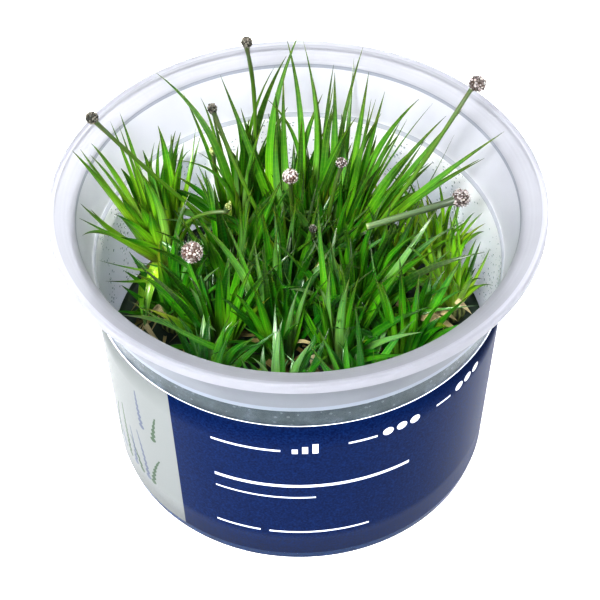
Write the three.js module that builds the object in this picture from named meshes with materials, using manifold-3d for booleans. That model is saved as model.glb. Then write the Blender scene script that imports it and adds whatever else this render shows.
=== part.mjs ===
// A tissue culture cup of Eriocaulon cinereum: a frosted tub with a wrap-around label, a bed of
// gel, a crowd of rosettes with narrow pointed blades, and their button flower heads on stalks.
// Millimetres, Z up, the foot of the tub at Z = 0, the printed side of the label towards -Y.
import * as THREE from 'three';
import { mergeVertices } from 'three/addons/utils/BufferGeometryUtils.js';
import Module from 'manifold-3d';

const wasm = await Module();
wasm.setup();

// Tub sizes: radius and height where the wall changes direction
const tubHeight = 68;
const rimRadius = 50;
const lipDepth = 2.35;
const lipThickness = 0.9;
const flangeInnerRadius = 44.8;
const flangeDrop = 2;
const neckTopZ = 64;
const neckTopInnerRadius = 44.4;
const neckTopOuterRadius = 45.3;
const ledgeZ = 53.8;
const ledgeRadius = 42.1;
const beadZ = 52.6;
const beadRadius = 43.4;
const bodyTopRadius = 42.5;
const bodyBottomRadius = 40.2;
const wallThickness = 0.8;
const footOuterRadius = 39.2;
const footInnerRadius = 38;
const footDepth = 0.8;
const floorZ = 1.6;
const roundSegments = 36;

// Label sizes
const labelBottomZ = 3.3;
const labelTopZ = 47.4;
const labelThickness = 0.2;
const labelGap = 0.15;
const labelStartDeg = 118;
const labelSweepDeg = 304;

// Gel bed
const gelTopZ = 27;
const gap = 0.3;

// Blades: share of the full width at each station along the length
const bladeStations = [0, 0.42, 0.8];
const bladeShares = [0.85, 1, 0.55];
const innerStations = [0, 0.5];
const innerShares = [0.9, 1];
const keelShare = 0.34;
const crownRadius = 3.1;
const baseOffset = 1.4;
const stalkRadius = 0.58;
const clearDistance = 2;
const samples = 24;

// Rosettes. Each blade is listed as: tip x, y, z, bow, curl, width. The bow is how far the middle
// is lifted, the curl how far it is pushed to the left of its heading. A stalk: x, y, z of its
// top, bow, curl. After the listed blades each rosette gets its shorter inner ones by chance.
const rosettes = [
  {
    name: 'rosette_left', crown: [-29, 18, 32], colour: 0x64a01c, inner: 4, longest: 34, seed: 3,
    blades: [
      [-37, 25, 69, 6, 1, 1.4], [-38.5, 20, 71, 3, 2, 1.4], [-36.5, 17.5, 72, 3, 3, 1.6],
      [-41, 6.5, 77, 6, -5, 1.8], [-44, 1, 80, 0, -4, 2], [-42.5, 1.5, 80, 1, -8, 1.5],
      [-41.5, 6.5, 74, 4, -5, 1.3], [-29, 24.5, 62, 8, 2, 1.2], [-30.5, 27, 59, 4, 4, 1.2],
      [-22.5, 21, 62, 8, 5, 1], [-43, -3.5, 70, -6, -5, 1.7], [-41.5, -1, 66, -5, -7, 1.2],
      [-43.5, -4.5, 67, -4, 4, 1.7], [-42.5, -9.5, 67, 3, -7, 1.4], [-40.5, -5.5, 56, -5, 7, 1.2],
      [-39.5, -6.5, 51, -4, 7, 1.3], [-32, -9.5, 40, 2, -6, 2.4], [-33, 12, 66, 4, 2, 1.8],
    ],
    stalks: [[-21.3, -4.2, 56, -3, 5], [-15, 9, 55.3, 12, -6]],
  },
  {
    name: 'rosette_left_back', crown: [-13, 28, 30], colour: 0x4c8a1a, inner: 4, longest: 34, seed: 8,
    blades: [
      [-28.5, 20, 84, 19, 15, 2.3], [-20, 26, 72, 10, -2, 0.9], [-2, 34.5, 76, 1, 7, 2.1],
      [-4.5, 33.5, 74, 1, 8, 1.1], [-26, 13.5, 66, 15, 9, 1.2], [-21, 16, 66, 9, 4, 0.9],
      [-6.5, 24, 68, 5, -5, 1.3], [-10, 31, 62, 4, 3, 1.8], [-18, 33, 58, 6, -4, 1.4],
    ],
    stalks: [[-10, 26.5, 84.2, 2, 9], [-40.4, 13.3, 76.4, -8, 5], [-17.8, 23, 58.2, -3, -4]],
  },
  {
    name: 'rosette_back', crown: [-1, 19, 30], colour: 0x559a18, inner: 4, longest: 34, seed: 21,
    blades: [
      [1, 33, 84, -4, 12, 2.5], [-2, 38, 78, 7, -5, 1.9], [1.5, 34.5, 80, 2, -8, 1.6],
      [3.5, 34.5, 70, 1, -7, 1.8], [8, 33.5, 70, 1, -2, 1.2], [-6.5, 23.5, 74, 0, -15, 1.4],
      [-4, 27, 66, 6, 4, 2], [-7, 16, 60, 5, 2, 1.8], [1, 24, 62, 4, 0, 1.9],
    ],
    stalks: [[-17, 22.3, 70.3, -1, 7], [-1.5, 8.4, 64, 5, 0], [2.9, 3.5, 54.6, -7, 4]],
  },
  {
    name: 'rosette_right_back', crown: [7, 16, 30], colour: 0x458a12, inner: 4, longest: 34, seed: 34,
    blades: [
      [14, 32.5, 80, 1, 4, 1.6], [15.5, 25, 72, 6, -3, 1.4], [16.5, 25, 72, 6, -1, 1.2],
      [25, 20, 76, 3, 8, 2.3], [28, 21, 74, 3, 2, 0.9], [30.5, 17, 74, 10, -5, 1.7],
      [33.5, 16.5, 76, 1, -3, 2.3], [32.5, 18, 68, -6, -15, 0.9], [42, 13, 73, 5, -5, 2.1],
      [38, 9.5, 69, 3, -1, 1.6], [23, 23, 68, 0, 0, 1.1], [18, 14, 64, 6, 2, 2],
      [12, 22, 62, 5, 0, 1.8],
    ],
    stalks: [[34.8, 15.2, 82.2, 2, -14], [8.9, 12.2, 64.3, 0, -4]],
  },
  {
    name: 'rosette_right', crown: [11, 0, 30], colour: 0x3f8414, inner: 4, longest: 32, seed: 55,
    blades: [
      [37.5, -6.5, 58, 12, -6, 2.1], [25.5, -4, 50, 0, -9, 1.7], [32, -5.5, 48, 0, -3, 1.6],
      [29, -7.5, 42, 4, -6, 2], [37, -8, 44, 5, -5, 1.5], [14.5, 4, 60, -6, 9, 1.6],
      [20, 2, 56, 5, 2, 1.8], [26, 4, 54, 6, 3, 1.8],
    ],
    stalks: [],
  },
  {
    name: 'rosette_front', crown: [-4, -9, 30], colour: 0x3c7c1a, inner: 4, longest: 32, seed: 7,
    blades: [
      [0, -10, 52, 5, -4, 1.9], [-7.5, -5, 54, 7, -2, 1.4], [-16, -8.5, 48, 5, 3, 1.6],
      [2, -8, 51, -4, -4, 0.9], [-20, -4.5, 66, 0, -6, 2.4], [-15.5, -0.5, 64, 5, 1, 1.4],
      [-34, -16.5, 56, -2, 10, 2], [-9, -2, 58, 4, 2, 1.6],
    ],
    stalks: [],
  },
  {
    name: 'rosette_front_left', crown: [-17, -7, 30], colour: 0x4a8f2a, inner: 4, longest: 28, seed: 12,
    blades: [
      [-22.5, -8, 54, 12, 5, 1.3], [-16, -7, 54, 0, 4, 0.9], [-14, -6, 57, 7, -3, 1.1],
      [-12, -7.5, 51, 5, 3, 1.2], [-33, -10, 60, 10, 7, 1.4],
    ],
    stalks: [],
  },
  {
    name: 'rosette_front_right', crown: [8, -11, 30], colour: 0x3a7a16, inner: 4, longest: 30, seed: 19,
    blades: [
      [10, -15.5, 46, 5, 1, 1.6], [4, -16, 42, 0, -5, 1.4], [1, -14, 50, -4, 1, 1.6],
      [3.5, -11.5, 54, -4, 5, 1.6], [4, 5, 64, 3, 2, 1.8], [13, -12, 52, 5, 0, 1.6],
    ],
    stalks: [],
  },
  {
    name: 'rosette_middle', crown: [-14, 8, 30], colour: 0x438a18, inner: 4, longest: 36, seed: 40,
    blades: [
      [-12, 4, 60, 4, 2, 1.6], [-20, 3, 55, 5, -3, 1.5], [-9, 10, 62, 5, 3, 1.7],
    ],
    stalks: [],
  },
  {
    name: 'rosette_right_small', crown: [31, 18, 31], colour: 0x5a9420, inner: 4, longest: 26, seed: 61,
    blades: [
      [38, 5, 58, 2, 3, 0.9], [39, 6, 54, 1, 2, 0.9], [38.5, 3.5, 54, 2, 4, 1.2],
      [30, 10, 54, 5, 0, 1], [34, 12, 56, 4, 2, 1.2],
    ],
    stalks: [],
  },
  {
    name: 'rosette_right_low', crown: [33, 4, 31], colour: 0x528c1c, inner: 4, longest: 24, seed: 70,
    blades: [
      [39.5, 0.5, 52, -4, 7, 1.2], [38.5, -0.5, 44, 6, 0, 0.9], [35, -4, 50, 4, 3, 1.2],
    ],
    stalks: [],
  },
  {
    name: 'rosette_right_middle', crown: [22, 13, 30], colour: 0x4f901a, inner: 4, longest: 28, seed: 83,
    blades: [
      [26, 12, 54, 4, 2, 1.4], [21, 19, 55, 4, -2, 1.4],
    ],
    stalks: [],
  },
  {
    name: 'rosette_front_side', crown: [22, -10, 30], colour: 0x3d7818, inner: 4, longest: 26, seed: 92,
    blades: [
      [30, -16, 46, 4, 2, 1.5], [23, -17, 47, 3, 0, 1.4],
    ],
    stalks: [],
  },
  {
    name: 'rosette_left_side', crown: [-27, 2, 30], colour: 0x47801e, inner: 4, longest: 24, seed: 99,
    blades: [
      [-31, -6, 44, 4, 2, 1.2], [-26, -8, 46, 3, 0, 1.2],
    ],
    stalks: [],
  },
  {
    name: 'rosette_centre', crown: [-4, 3, 30], colour: 0x418816, inner: 5, longest: 36, seed: 105,
    blades: [],
    stalks: [],
  },
  {
    name: 'rosette_near_left', crown: [-20, -21, 30], colour: 0x3f7c1c, inner: 6, longest: 18, seed: 111,
    blades: [],
    stalks: [],
  },
  {
    name: 'rosette_near', crown: [-4, -26, 30], colour: 0x39781a, inner: 6, longest: 18, seed: 118,
    blades: [],
    stalks: [],
  },
  {
    name: 'rosette_near_right', crown: [12, -25, 30], colour: 0x3b7a18, inner: 6, longest: 18, seed: 127,
    blades: [],
    stalks: [],
  },
];

// Flower heads: middle x, y, z, width, height and colour
const heads = [
  { name: 'flower_head_tall', at: [-10, 26.5, 86], size: [2.3, 2.4], colour: 0x6d7158 },
  { name: 'flower_head_far_left', at: [-41.2, 13, 78], size: [2.7, 2.6], colour: 0x5d5c5a },
  { name: 'flower_head_back_left', at: [-17.5, 22.5, 72], size: [2.1, 2.4], colour: 0x7d7f72 },
  { name: 'flower_head_far_right', at: [36, 15, 84], size: [3.7, 3], colour: 0x7a7268 },
  { name: 'flower_head_middle', at: [-1.5, 8, 66], size: [3.5, 3], colour: 0xd3cdc6 },
  { name: 'flower_head_right', at: [9, 12, 66], size: [2.4, 2.2], colour: 0xb3a9ad },
  { name: 'flower_head_loose', at: [33.3, 5.2, 62], size: [4.1, 3.8], colour: 0xa49c98 },
  { name: 'flower_head_front_left', at: [-21.5, -5.5, 58], size: [4.7, 4.4], colour: 0xd9d0c8 },
  { name: 'flower_bud_front', at: [3, 3, 56], size: [1.7, 1.9], colour: 0x8d9170 },
  { name: 'flower_bud_pale', at: [-17.9, 22.8, 60], size: [1.5, 2.6], colour: 0xb9b6a2 },
  { name: 'flower_bud_green', at: [-14.5, 9, 56.8], size: [1.4, 1.8], colour: 0xa9bf3a },
];

// The loose stalk lies across the leaves: its cut end and its upper end
const looseStalkStart = [14, 1.2, 58];
const looseStalkEnd = [30.7, 4.6, 61.4];
const looseStalkRadius = 0.72;

// A number stream that is the same on every build
function chanceStream(seed) {
  let state = seed;
  return () => {
    state = (Math.imul(state, 1664525) + 1013904223) >>> 0;
    return state / 4294967296;
  };
}

// Inner radius that is free for leaves at a height
function freeRadius(z) {
  if (z < ledgeZ) {
    return bodyBottomRadius - wallThickness + (z / ledgeZ) * 2.2 - 0.7;
  }
  if (z < neckTopZ) {
    return ledgeRadius - 0.7 + ((z - ledgeZ) / (neckTopZ - ledgeZ)) * 2.3;
  }
  if (z < tubHeight - flangeDrop) {
    return neckTopInnerRadius - 0.5;
  }
  if (z < tubHeight + 0.8) {
    return flangeInnerRadius - 0.8 + (z - tubHeight + flangeDrop) * 1.7;
  }
  return 99;
}

// Middle line of a blade or stalk from the crown to its tip
function middleLine(crown, tip, bow, curl) {
  const start = new THREE.Vector3(...crown);
  const end = new THREE.Vector3(...tip);
  const run = new THREE.Vector3(end.x - start.x, end.y - start.y, 0);
  const side = new THREE.Vector3(-run.y, run.x, 0).normalize();
  start.addScaledVector(run.clone().normalize(), baseOffset);
  const middle = start.clone().add(end).multiplyScalar(0.5);
  middle.addScaledVector(run, -0.12).addScaledVector(side, curl);
  middle.z += bow;
  return new THREE.QuadraticBezierCurve3(start, middle, end);
}

// True when the line stays inside the tub and away from the lines of other plants
function isFree(points, owner, taken) {
  const outside = points.some((p, i) => i > 3 && Math.hypot(p.x, p.y) > freeRadius(p.z));
  if (outside) {
    return false;
  }
  return !taken.some((other) => other.owner !== owner
    && other.points.some((q) => points.some((p) => p.distanceTo(q) < clearDistance + other.extra)));
}

// One keeled blade as a closed solid: rings of left edge, right edge and keel, then a point
function bladeSolid(curve, width, stations, shares) {
  const positions = [];
  const faces = [];
  const heading = curve.v2.clone().sub(curve.v0).setZ(0).normalize();
  const side = new THREE.Vector3(-heading.y, heading.x, 0);
  stations.forEach((station, i) => {
    const point = curve.getPoint(station);
    const along = curve.getTangent(station);
    const inward = along.clone().cross(side).normalize();
    const half = (width * shares[i]) / 2;
    positions.push(...point.clone().addScaledVector(side, half).toArray());
    positions.push(...point.clone().addScaledVector(side, -half).toArray());
    positions.push(...point.clone().addScaledVector(inward, -2 * half * keelShare).toArray());
  });
  positions.push(...curve.getPoint(1).toArray());
  const tip = stations.length * 3;
  faces.push(0, 1, 2);
  for (let i = 0; i < stations.length; i += 1) {
    for (let k = 0; k < 3; k += 1) {
      const here = i * 3 + k;
      const next = i * 3 + ((k + 1) % 3);
      if (i === stations.length - 1) {
        faces.push(here, tip, next);
      } else {
        faces.push(here, here + 3, next, next, here + 3, next + 3);
      }
    }
  }
  return solidFrom(positions, faces);
}

// Closed solid from positions and triangles, turned outwards if it came out inside-out
function solidFrom(positions, faces) {
  const make = (triangles) => new wasm.Manifold(new wasm.Mesh({
    numProp: 3,
    vertProperties: Float32Array.from(positions),
    triVerts: Uint32Array.from(triangles),
  }));
  const solid = make(faces);
  if (solid.volume() > 0) {
    return solid;
  }
  const turned = [];
  for (let i = 0; i < faces.length; i += 3) {
    turned.push(faces[i], faces[i + 2], faces[i + 1]);
  }
  return make(turned);
}

function solidFromGeometry(geometry) {
  const bare = geometry.clone();
  bare.deleteAttribute('normal');
  bare.deleteAttribute('uv');
  const joined = mergeVertices(bare, 1e-4);
  return solidFrom(Array.from(joined.attributes.position.array), Array.from(joined.index.array));
}

function meshFrom(solid, name, colour, roughness) {
  const data = solid.getMesh();
  const geometry = new THREE.BufferGeometry();
  geometry.setAttribute('position', new THREE.BufferAttribute(data.vertProperties, 3));
  geometry.setIndex(new THREE.BufferAttribute(data.triVerts, 1));
  geometry.computeVertexNormals();
  const material = new THREE.MeshStandardMaterial({ color: colour, roughness, metalness: 0 });
  const mesh = new THREE.Mesh(geometry, material);
  mesh.name = name;
  return mesh;
}

// Round stalk swept along a curve
function stalkSolid(curve, radius, steps) {
  const section = new THREE.Shape();
  section.absarc(0, 0, radius, 0, Math.PI * 2, false);
  const settings = { steps, curveSegments: 2, bevelEnabled: false, extrudePath: curve };
  return solidFromGeometry(new THREE.ExtrudeGeometry(section, settings));
}

// Tub: one closed outline from the underside, up the outside, over the rim and down the inside
function makeTub() {
  const lipInner = rimRadius - lipThickness;
  const flangeTopZ = tubHeight - flangeDrop;
  const outline = [
    [0, footDepth], [footInnerRadius - 0.5, footDepth], [footInnerRadius, 0], [footOuterRadius, 0],
    [bodyBottomRadius, 1], [bodyTopRadius, beadZ - 0.5], [beadRadius, beadZ + 0.2],
    [beadRadius + 0.1, ledgeZ], [neckTopOuterRadius, neckTopZ + 0.4],
    [neckTopOuterRadius + 0.7, flangeTopZ - 0.7], [lipInner, flangeTopZ + 0.6],
    [lipInner, tubHeight - lipDepth], [rimRadius, tubHeight - lipDepth],
    [rimRadius, tubHeight - 0.4], [rimRadius - 0.4, tubHeight], [flangeInnerRadius, flangeTopZ],
    [neckTopInnerRadius, neckTopZ], [ledgeRadius, ledgeZ], [ledgeRadius - 0.4, ledgeZ - 0.6],
    [bodyBottomRadius - wallThickness, floorZ + 0.8], [bodyBottomRadius - 1.8, floorZ],
    [0, floorZ],
  ];
  const profile = outline.map(([radius, z]) => new THREE.Vector2(radius, z));
  const geometry = new THREE.LatheGeometry(profile, roundSegments).rotateX(Math.PI / 2);
  return meshFrom(solidFromGeometry(geometry), 'tub', 0xd9deea, 0.35);
}

function outerRadiusAt(z) {
  const share = (z - 1) / (beadZ - 1.5);
  return bodyBottomRadius + share * (bodyTopRadius - bodyBottomRadius);
}

// Label: a printed strip wrapped round the body, open at the back
function makeLabel() {
  const positions = [];
  const faces = [];
  const steps = 34;
  for (let i = 0; i <= steps; i += 1) {
    const angle = THREE.MathUtils.degToRad(labelStartDeg + (labelSweepDeg * i) / steps);
    [labelBottomZ, labelTopZ].forEach((z) => {
      [labelGap, labelGap + labelThickness].forEach((offset) => {
        const radius = outerRadiusAt(z) + offset;
        positions.push(radius * Math.cos(angle), radius * Math.sin(angle), z);
      });
    });
  }
  const ring = [0, 1, 3, 2];
  for (let i = 0; i < steps; i += 1) {
    for (let k = 0; k < 4; k += 1) {
      const a = i * 4 + ring[k];
      const b = i * 4 + ring[(k + 1) % 4];
      faces.push(a, b, b + 4, a, b + 4, a + 4);
    }
  }
  const last = steps * 4;
  faces.push(0, 2, 3, 0, 3, 1);
  faces.push(last, last + 3, last + 2, last, last + 1, last + 3);
  return meshFrom(solidFrom(positions, faces), 'label', 0x24457f, 0.45);
}

// Gel bed: fills the bottom of the tub up to just under the crowns
function makeGel() {
  const bottomRadius = bodyBottomRadius - 1.8 - gap;
  const wallRadius = bodyBottomRadius - wallThickness - gap;
  const outline = [
    [0, floorZ + gap], [bottomRadius, floorZ + gap], [wallRadius, floorZ + 1.2],
    [wallRadius + 1, gelTopZ + 0.6], [wallRadius + 0.2, gelTopZ], [0, gelTopZ - 0.3],
  ];
  const profile = outline.map(([radius, z]) => new THREE.Vector2(radius, z));
  const geometry = new THREE.LatheGeometry(profile, roundSegments).rotateX(Math.PI / 2);
  return meshFrom(solidFromGeometry(geometry), 'culture_gel', 0x3c4a35, 0.3);
}

// Low dome that the blades and stalks of a rosette grow from
function crownSolid(crown) {
  const bottom = gelTopZ + gap;
  const halfHeight = (crown[2] + 1.5 - bottom) / 2;
  const geometry = new THREE.SphereGeometry(1, 7, 4).rotateX(Math.PI / 2);
  geometry.scale(crownRadius, crownRadius, halfHeight);
  geometry.translate(crown[0], crown[1], bottom + halfHeight);
  return solidFromGeometry(geometry);
}

// Every listed blade, stalk and head takes its room first, then the inner blades fill in
function takenLines() {
  const taken = [];
  rosettes.forEach((rosette) => {
    rosette.blades.forEach(([x, y, z, bow, curl]) => {
      const points = middleLine(rosette.crown, [x, y, z], bow, curl).getPoints(samples);
      taken.push({ owner: rosette.name, points, extra: 0 });
    });
    rosette.stalks.forEach(([x, y, z, bow, curl]) => {
      const points = middleLine(rosette.crown, [x, y, z], bow, curl).getPoints(samples);
      taken.push({ owner: rosette.name, points, extra: 0 });
    });
  });
  heads.forEach((head) => {
    taken.push({ owner: head.name, points: [new THREE.Vector3(...head.at)], extra: head.size[0] / 2 });
  });
  const loose = new THREE.LineCurve3(new THREE.Vector3(...looseStalkStart), new THREE.Vector3(...looseStalkEnd));
  taken.push({ owner: 'loose', points: loose.getPoints(samples), extra: 0 });
  return taken;
}

function innerBlades(rosette, taken) {
  const chance = chanceStream(rosette.seed);
  const found = [];
  for (let tries = 0; tries < rosette.inner * 8 && found.length < rosette.inner; tries += 1) {
    const heading = chance() * Math.PI * 2;
    const lean = THREE.MathUtils.degToRad(8 + 50 * chance());
    const length = rosette.longest * (0.6 + 0.4 * chance());
    const bow = 1 + 4 * chance();
    const curl = -3 + 6 * chance();
    const width = 0.9 + 0.6 * chance();
    const tip = [
      rosette.crown[0] + length * Math.sin(lean) * Math.cos(heading),
      rosette.crown[1] + length * Math.sin(lean) * Math.sin(heading),
      rosette.crown[2] + length * Math.cos(lean),
    ];
    const points = middleLine(rosette.crown, tip, bow, curl).getPoints(samples);
    if (isFree(points, rosette.name, taken)) {
      taken.push({ owner: rosette.name, points, extra: 0 });
      found.push([...tip, bow, curl, width]);
    }
  }
  return found;
}

// One rosette: crown, listed blades, inner blades and stalks joined into a single body
function makeRosette(rosette, taken) {
  let solid = crownSolid(rosette.crown);
  rosette.blades.forEach(([x, y, z, bow, curl, width]) => {
    const curve = middleLine(rosette.crown, [x, y, z], bow, curl);
    solid = solid.add(bladeSolid(curve, width, bladeStations, bladeShares));
  });
  innerBlades(rosette, taken).forEach(([x, y, z, bow, curl, width]) => {
    const curve = middleLine(rosette.crown, [x, y, z], bow, curl);
    solid = solid.add(bladeSolid(curve, width, innerStations, innerShares));
  });
  rosette.stalks.forEach(([x, y, z, bow, curl]) => {
    solid = solid.add(stalkSolid(middleLine(rosette.crown, [x, y, z], bow, curl), stalkRadius, 3));
  });
  return meshFrom(solid, rosette.name, rosette.colour, 0.5);
}

// Flower head: a low button with a slightly flattened underside
function makeHead(head) {
  const geometry = new THREE.SphereGeometry(1, 8, 5).rotateX(Math.PI / 2);
  geometry.scale(head.size[0] / 2, head.size[0] / 2, head.size[1] / 2);
  geometry.translate(...head.at);
  return meshFrom(solidFromGeometry(geometry), head.name, head.colour, 0.8);
}

function makeLooseStalk() {
  const start = new THREE.Vector3(...looseStalkStart);
  const end = new THREE.Vector3(...looseStalkEnd);
  const solid = stalkSolid(new THREE.LineCurve3(start, end), looseStalkRadius, 2);
  return meshFrom(solid, 'loose_flower_stalk', 0x77866a, 0.6);
}

const cup = new THREE.Group();
cup.name = 'eriocaulon_culture_cup';
cup.add(makeTub(), makeLabel(), makeGel());
const taken = takenLines();
rosettes.forEach((rosette) => cup.add(makeRosette(rosette, taken)));
heads.forEach((head) => cup.add(makeHead(head)));
cup.add(makeLooseStalk());

export default cup;
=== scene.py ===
# A tissue culture tub of Eriocaulon cinereum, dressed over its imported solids. The sections follow
# the order in which such a tub is filled: tub, label, gel, plants, stalks, flower heads, dew.
import math
import random

import bmesh
import bpy
import numpy as np
from mathutils import Matrix, Vector


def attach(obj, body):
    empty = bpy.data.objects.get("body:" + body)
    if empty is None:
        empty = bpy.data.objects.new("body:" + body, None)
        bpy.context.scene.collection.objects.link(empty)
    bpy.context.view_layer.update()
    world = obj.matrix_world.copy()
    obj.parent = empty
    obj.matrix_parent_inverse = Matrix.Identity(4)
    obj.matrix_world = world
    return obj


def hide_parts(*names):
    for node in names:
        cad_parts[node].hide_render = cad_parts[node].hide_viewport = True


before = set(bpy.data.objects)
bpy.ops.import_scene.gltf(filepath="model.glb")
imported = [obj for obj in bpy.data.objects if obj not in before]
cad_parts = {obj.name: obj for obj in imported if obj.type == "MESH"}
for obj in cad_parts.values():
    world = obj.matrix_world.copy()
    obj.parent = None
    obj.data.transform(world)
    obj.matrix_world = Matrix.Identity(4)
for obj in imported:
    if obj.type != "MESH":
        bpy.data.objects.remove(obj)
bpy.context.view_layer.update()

MM = 0.001
scene = bpy.context.scene

# ---------------------------------------------------------------------------------------------
# View of the photograph: a long lens held 45 degrees above the front of the tub, turned by less
# than one degree. The printed side of the label faces the camera.
camera_place = Vector((0.0, -262.5, 315.0)) * MM
camera_forward = Vector((0.0005, 0.6876, -0.7261)).normalized()
camera_right = camera_forward.cross(Vector((0.0122, 0.7260, 0.6876))).normalized()
camera_up = camera_right.cross(camera_forward)
camera_data = bpy.data.cameras.new("tub_camera")
camera_data.sensor_width = 36.0
camera_data.lens = 108.0
camera_data.clip_start = 0.01
camera_data.clip_end = 20.0
camera = bpy.data.objects.new("tub_camera", camera_data)
camera_turn = Matrix((camera_right, camera_up, -camera_forward)).transposed().to_4x4()
camera.matrix_world = Matrix.Translation(camera_place) @ camera_turn
scene.collection.objects.link(camera)
scene.camera = camera
scene.view_settings.view_transform = "Standard"
scene.view_settings.exposure = 0.35
scene.view_settings.gamma = 0.74

# ---------------------------------------------------------------------------------------------
# Tub: one moulding of milky polypropylene, thin enough to glow where light comes through. It has
# a foot ring, a slightly conical body, a bead and a ledge, a flared neck, and a dished flange
# with a hanging lip. It is turned here from its outline, as its mould is.
WALL_STEPS = 144
TURNING_RADIUS = 20 * MM
# Radius and height in millimetres, and the rounding of that corner
tub_outline = [
    (0, 0.8, 0), (37.5, 0.8, 0.4), (38, 0, 0.15), (39.2, 0, 0.3), (40.2, 1, 0.5), (42.5, 52.1, 0.4),
    (43.4, 52.8, 0.3), (43.5, 53.8, 0.3), (45.3, 64.4, 0.5), (46, 65.3, 0.4), (49.1, 66.6, 0.2),
    (49.1, 65.65, 0.12), (50, 65.65, 0.2), (50, 67.6, 0.35), (49.6, 68, 0.25), (44.8, 66, 0.8),
    (44.4, 64, 0.8), (42.1, 53.8, 0.35), (41.7, 53.2, 0.25), (39.4, 2.4, 0.9), (38.4, 1.6, 0.5),
    (0, 1.6, 0),
]
# Heights in metres at which the look of the wall changes, and radii of the lip and the inner edge
FOOT_TOP, BEAD, LEDGE, NECK_FOOT, NECK_TOP, FLANGE = 0.0034, 0.0525, 0.0538, 0.0541, 0.0645, 0.0653
LIP_RADIUS, INNER_EDGE_RADIUS = 0.0487, 0.0449
# Middle and half height of the bare band over the label and of two fine lines of painted shade
BARE_BAND, LEDGE_LINE, INNER_EDGE = (0.0496, 0.0024), (0.0534, 0.0005), (0.0651, 0.0004)
# Middle and half width of the gap between the label's ends, and the heights where the painted view through it fades
LABEL_GAP, GAP_FADE = (math.radians(90), math.radians(28)), (0.042, 0.0485)


def linear(*channels):
    """Colour written as 0 to 255 screen values, turned into linear light."""
    scaled = [c / 255 for c in channels]
    return tuple(c / 12.92 if c <= 0.04045 else ((c + 0.055) / 1.055) ** 2.4 for c in scaled) + (1.0,)


class Wire:
    """One outlet of a node. Sums, products and tests of wires add the maths nodes for them."""

    def __init__(self, tree, node, outlet=0):
        self.tree, self.node, self.socket = tree, node, node.outputs[outlet]

    def __getitem__(self, outlet):
        return Wire(self.tree, self.node, outlet)

    def maths(self, operation, *others):
        return put(self.tree, "ShaderNodeMath", dict(enumerate((self, *others))), operation=operation)

    def clamped(self):
        return put(self.tree, "ShaderNodeClamp", {"Value": self})

    def __add__(self, other):
        return self.maths("ADD", other)

    def __sub__(self, other):
        return self.maths("SUBTRACT", other)

    def __rsub__(self, other):
        return put(self.tree, "ShaderNodeMath", {0: other, 1: self}, operation="SUBTRACT")

    def __mul__(self, other):
        return self.maths("MULTIPLY", other)

    def __truediv__(self, other):
        return self.maths("DIVIDE", other)

    def __pow__(self, other):
        return self.maths("POWER", other)

    def __abs__(self):
        return self.maths("ABSOLUTE")

    def __lt__(self, other):
        return self.maths("LESS_THAN", other)

    def __gt__(self, other):
        return self.maths("GREATER_THAN", other)


def feed(socket, value):
    """Fill a socket with a wire, a plain value, or a colour in screen values."""
    if isinstance(value, Wire):
        value.tree.links.new(value.socket, socket)
    else:
        socket.default_value = linear(*value) if socket.type == "RGBA" else value


def put(tree, kind, inputs=None, **settings):
    """Add a node, set its own settings, and fill its sockets."""
    node = tree.nodes.new(kind)
    for name, value in settings.items():
        setattr(node, name, value)
    for socket, value in (inputs or {}).items():
        feed(node.inputs[socket], value)
    return Wire(tree, node)


def place_in(tree):
    return put(tree, "ShaderNodeTexCoord")["Object"]


def noise(tree, scale, detail=2.0, **inputs):
    """Clouds of chance that are fixed to the piece."""
    return put(tree, "ShaderNodeTexNoise",
               {"Vector": place_in(tree), "Scale": scale, "Detail": detail, **inputs})["Fac"]


def blend(share, first, second):
    """The first colour with the second mixed in by its share."""
    return put(share.tree, "ShaderNodeMix", {0: share, 6: first, 7: second}, data_type="RGBA")[2]


def fade(value, start, end, low, high):
    """From low to high while the value goes from start to end."""
    return put(value.tree, "ShaderNodeMapRange", {
        "Value": value, "From Min": start, "From Max": end, "To Min": low, "To Max": high})


def ramp(value, *stops):
    """Colours along a value, each stop given as its place and its colour."""
    made = put(value.tree, "ShaderNodeValToRGB", {"Fac": value})
    steps = made.node.color_ramp.elements
    while len(steps) < len(stops):
        steps.new(0.5)
    for step, (place, colour) in zip(steps, stops):
        step.position = place
        step.color = linear(*colour)
    return made


def clouded(value, dark, light):
    """Two near shades that drift into each other."""
    return ramp(value, (0.3, dark), (0.7, light))


def finish_of(name):
    """An empty material and its tree."""
    material = bpy.data.materials.new(name)
    material.use_nodes = True
    return material, material.node_tree


def dress(tree, sockets, relief=None, strength=0.0, distance=0.0):
    """Feed the surface shader of a material, with a fine relief where the surface has one."""
    for name, value in sockets.items():
        feed(tree.nodes["Principled BSDF"].inputs[name], value)
    if relief is not None:
        feed(tree.nodes["Principled BSDF"].inputs["Normal"], put(tree, "ShaderNodeBump", {
            "Height": relief, "Strength": strength, "Distance": distance}))


def growing_tree(name, inputs):
    """An empty Geometry Nodes tree with named inputs, and the wire that brings them in."""
    tree = bpy.data.node_groups.new(name, "GeometryNodeTree")
    for side in ("INPUT", "OUTPUT"):
        tree.interface.new_socket("Geometry", in_out=side, socket_type="NodeSocketGeometry")
    for label, kind in inputs.items():
        tree.interface.new_socket(label, in_out="INPUT", socket_type="NodeSocket" + kind)
    return tree, Wire(tree, tree.nodes.new("NodeGroupInput"))


def close_tree(geometry, material):
    """Every tree ends the same way: real faces, smooth shading, and its material."""
    tree = geometry.tree
    real = put(tree, "GeometryNodeRealizeInstances", {"Geometry": geometry})
    painted_low_shade = put(tree, "GeometryNodeSetShadeSmooth", {"Geometry": real, "Shade Smooth": True})
    dressed = put(tree, "GeometryNodeSetMaterial", {"Geometry": painted_low_shade, "Material": material})
    feed(tree.nodes.new("NodeGroupOutput").inputs[0], dressed)


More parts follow.
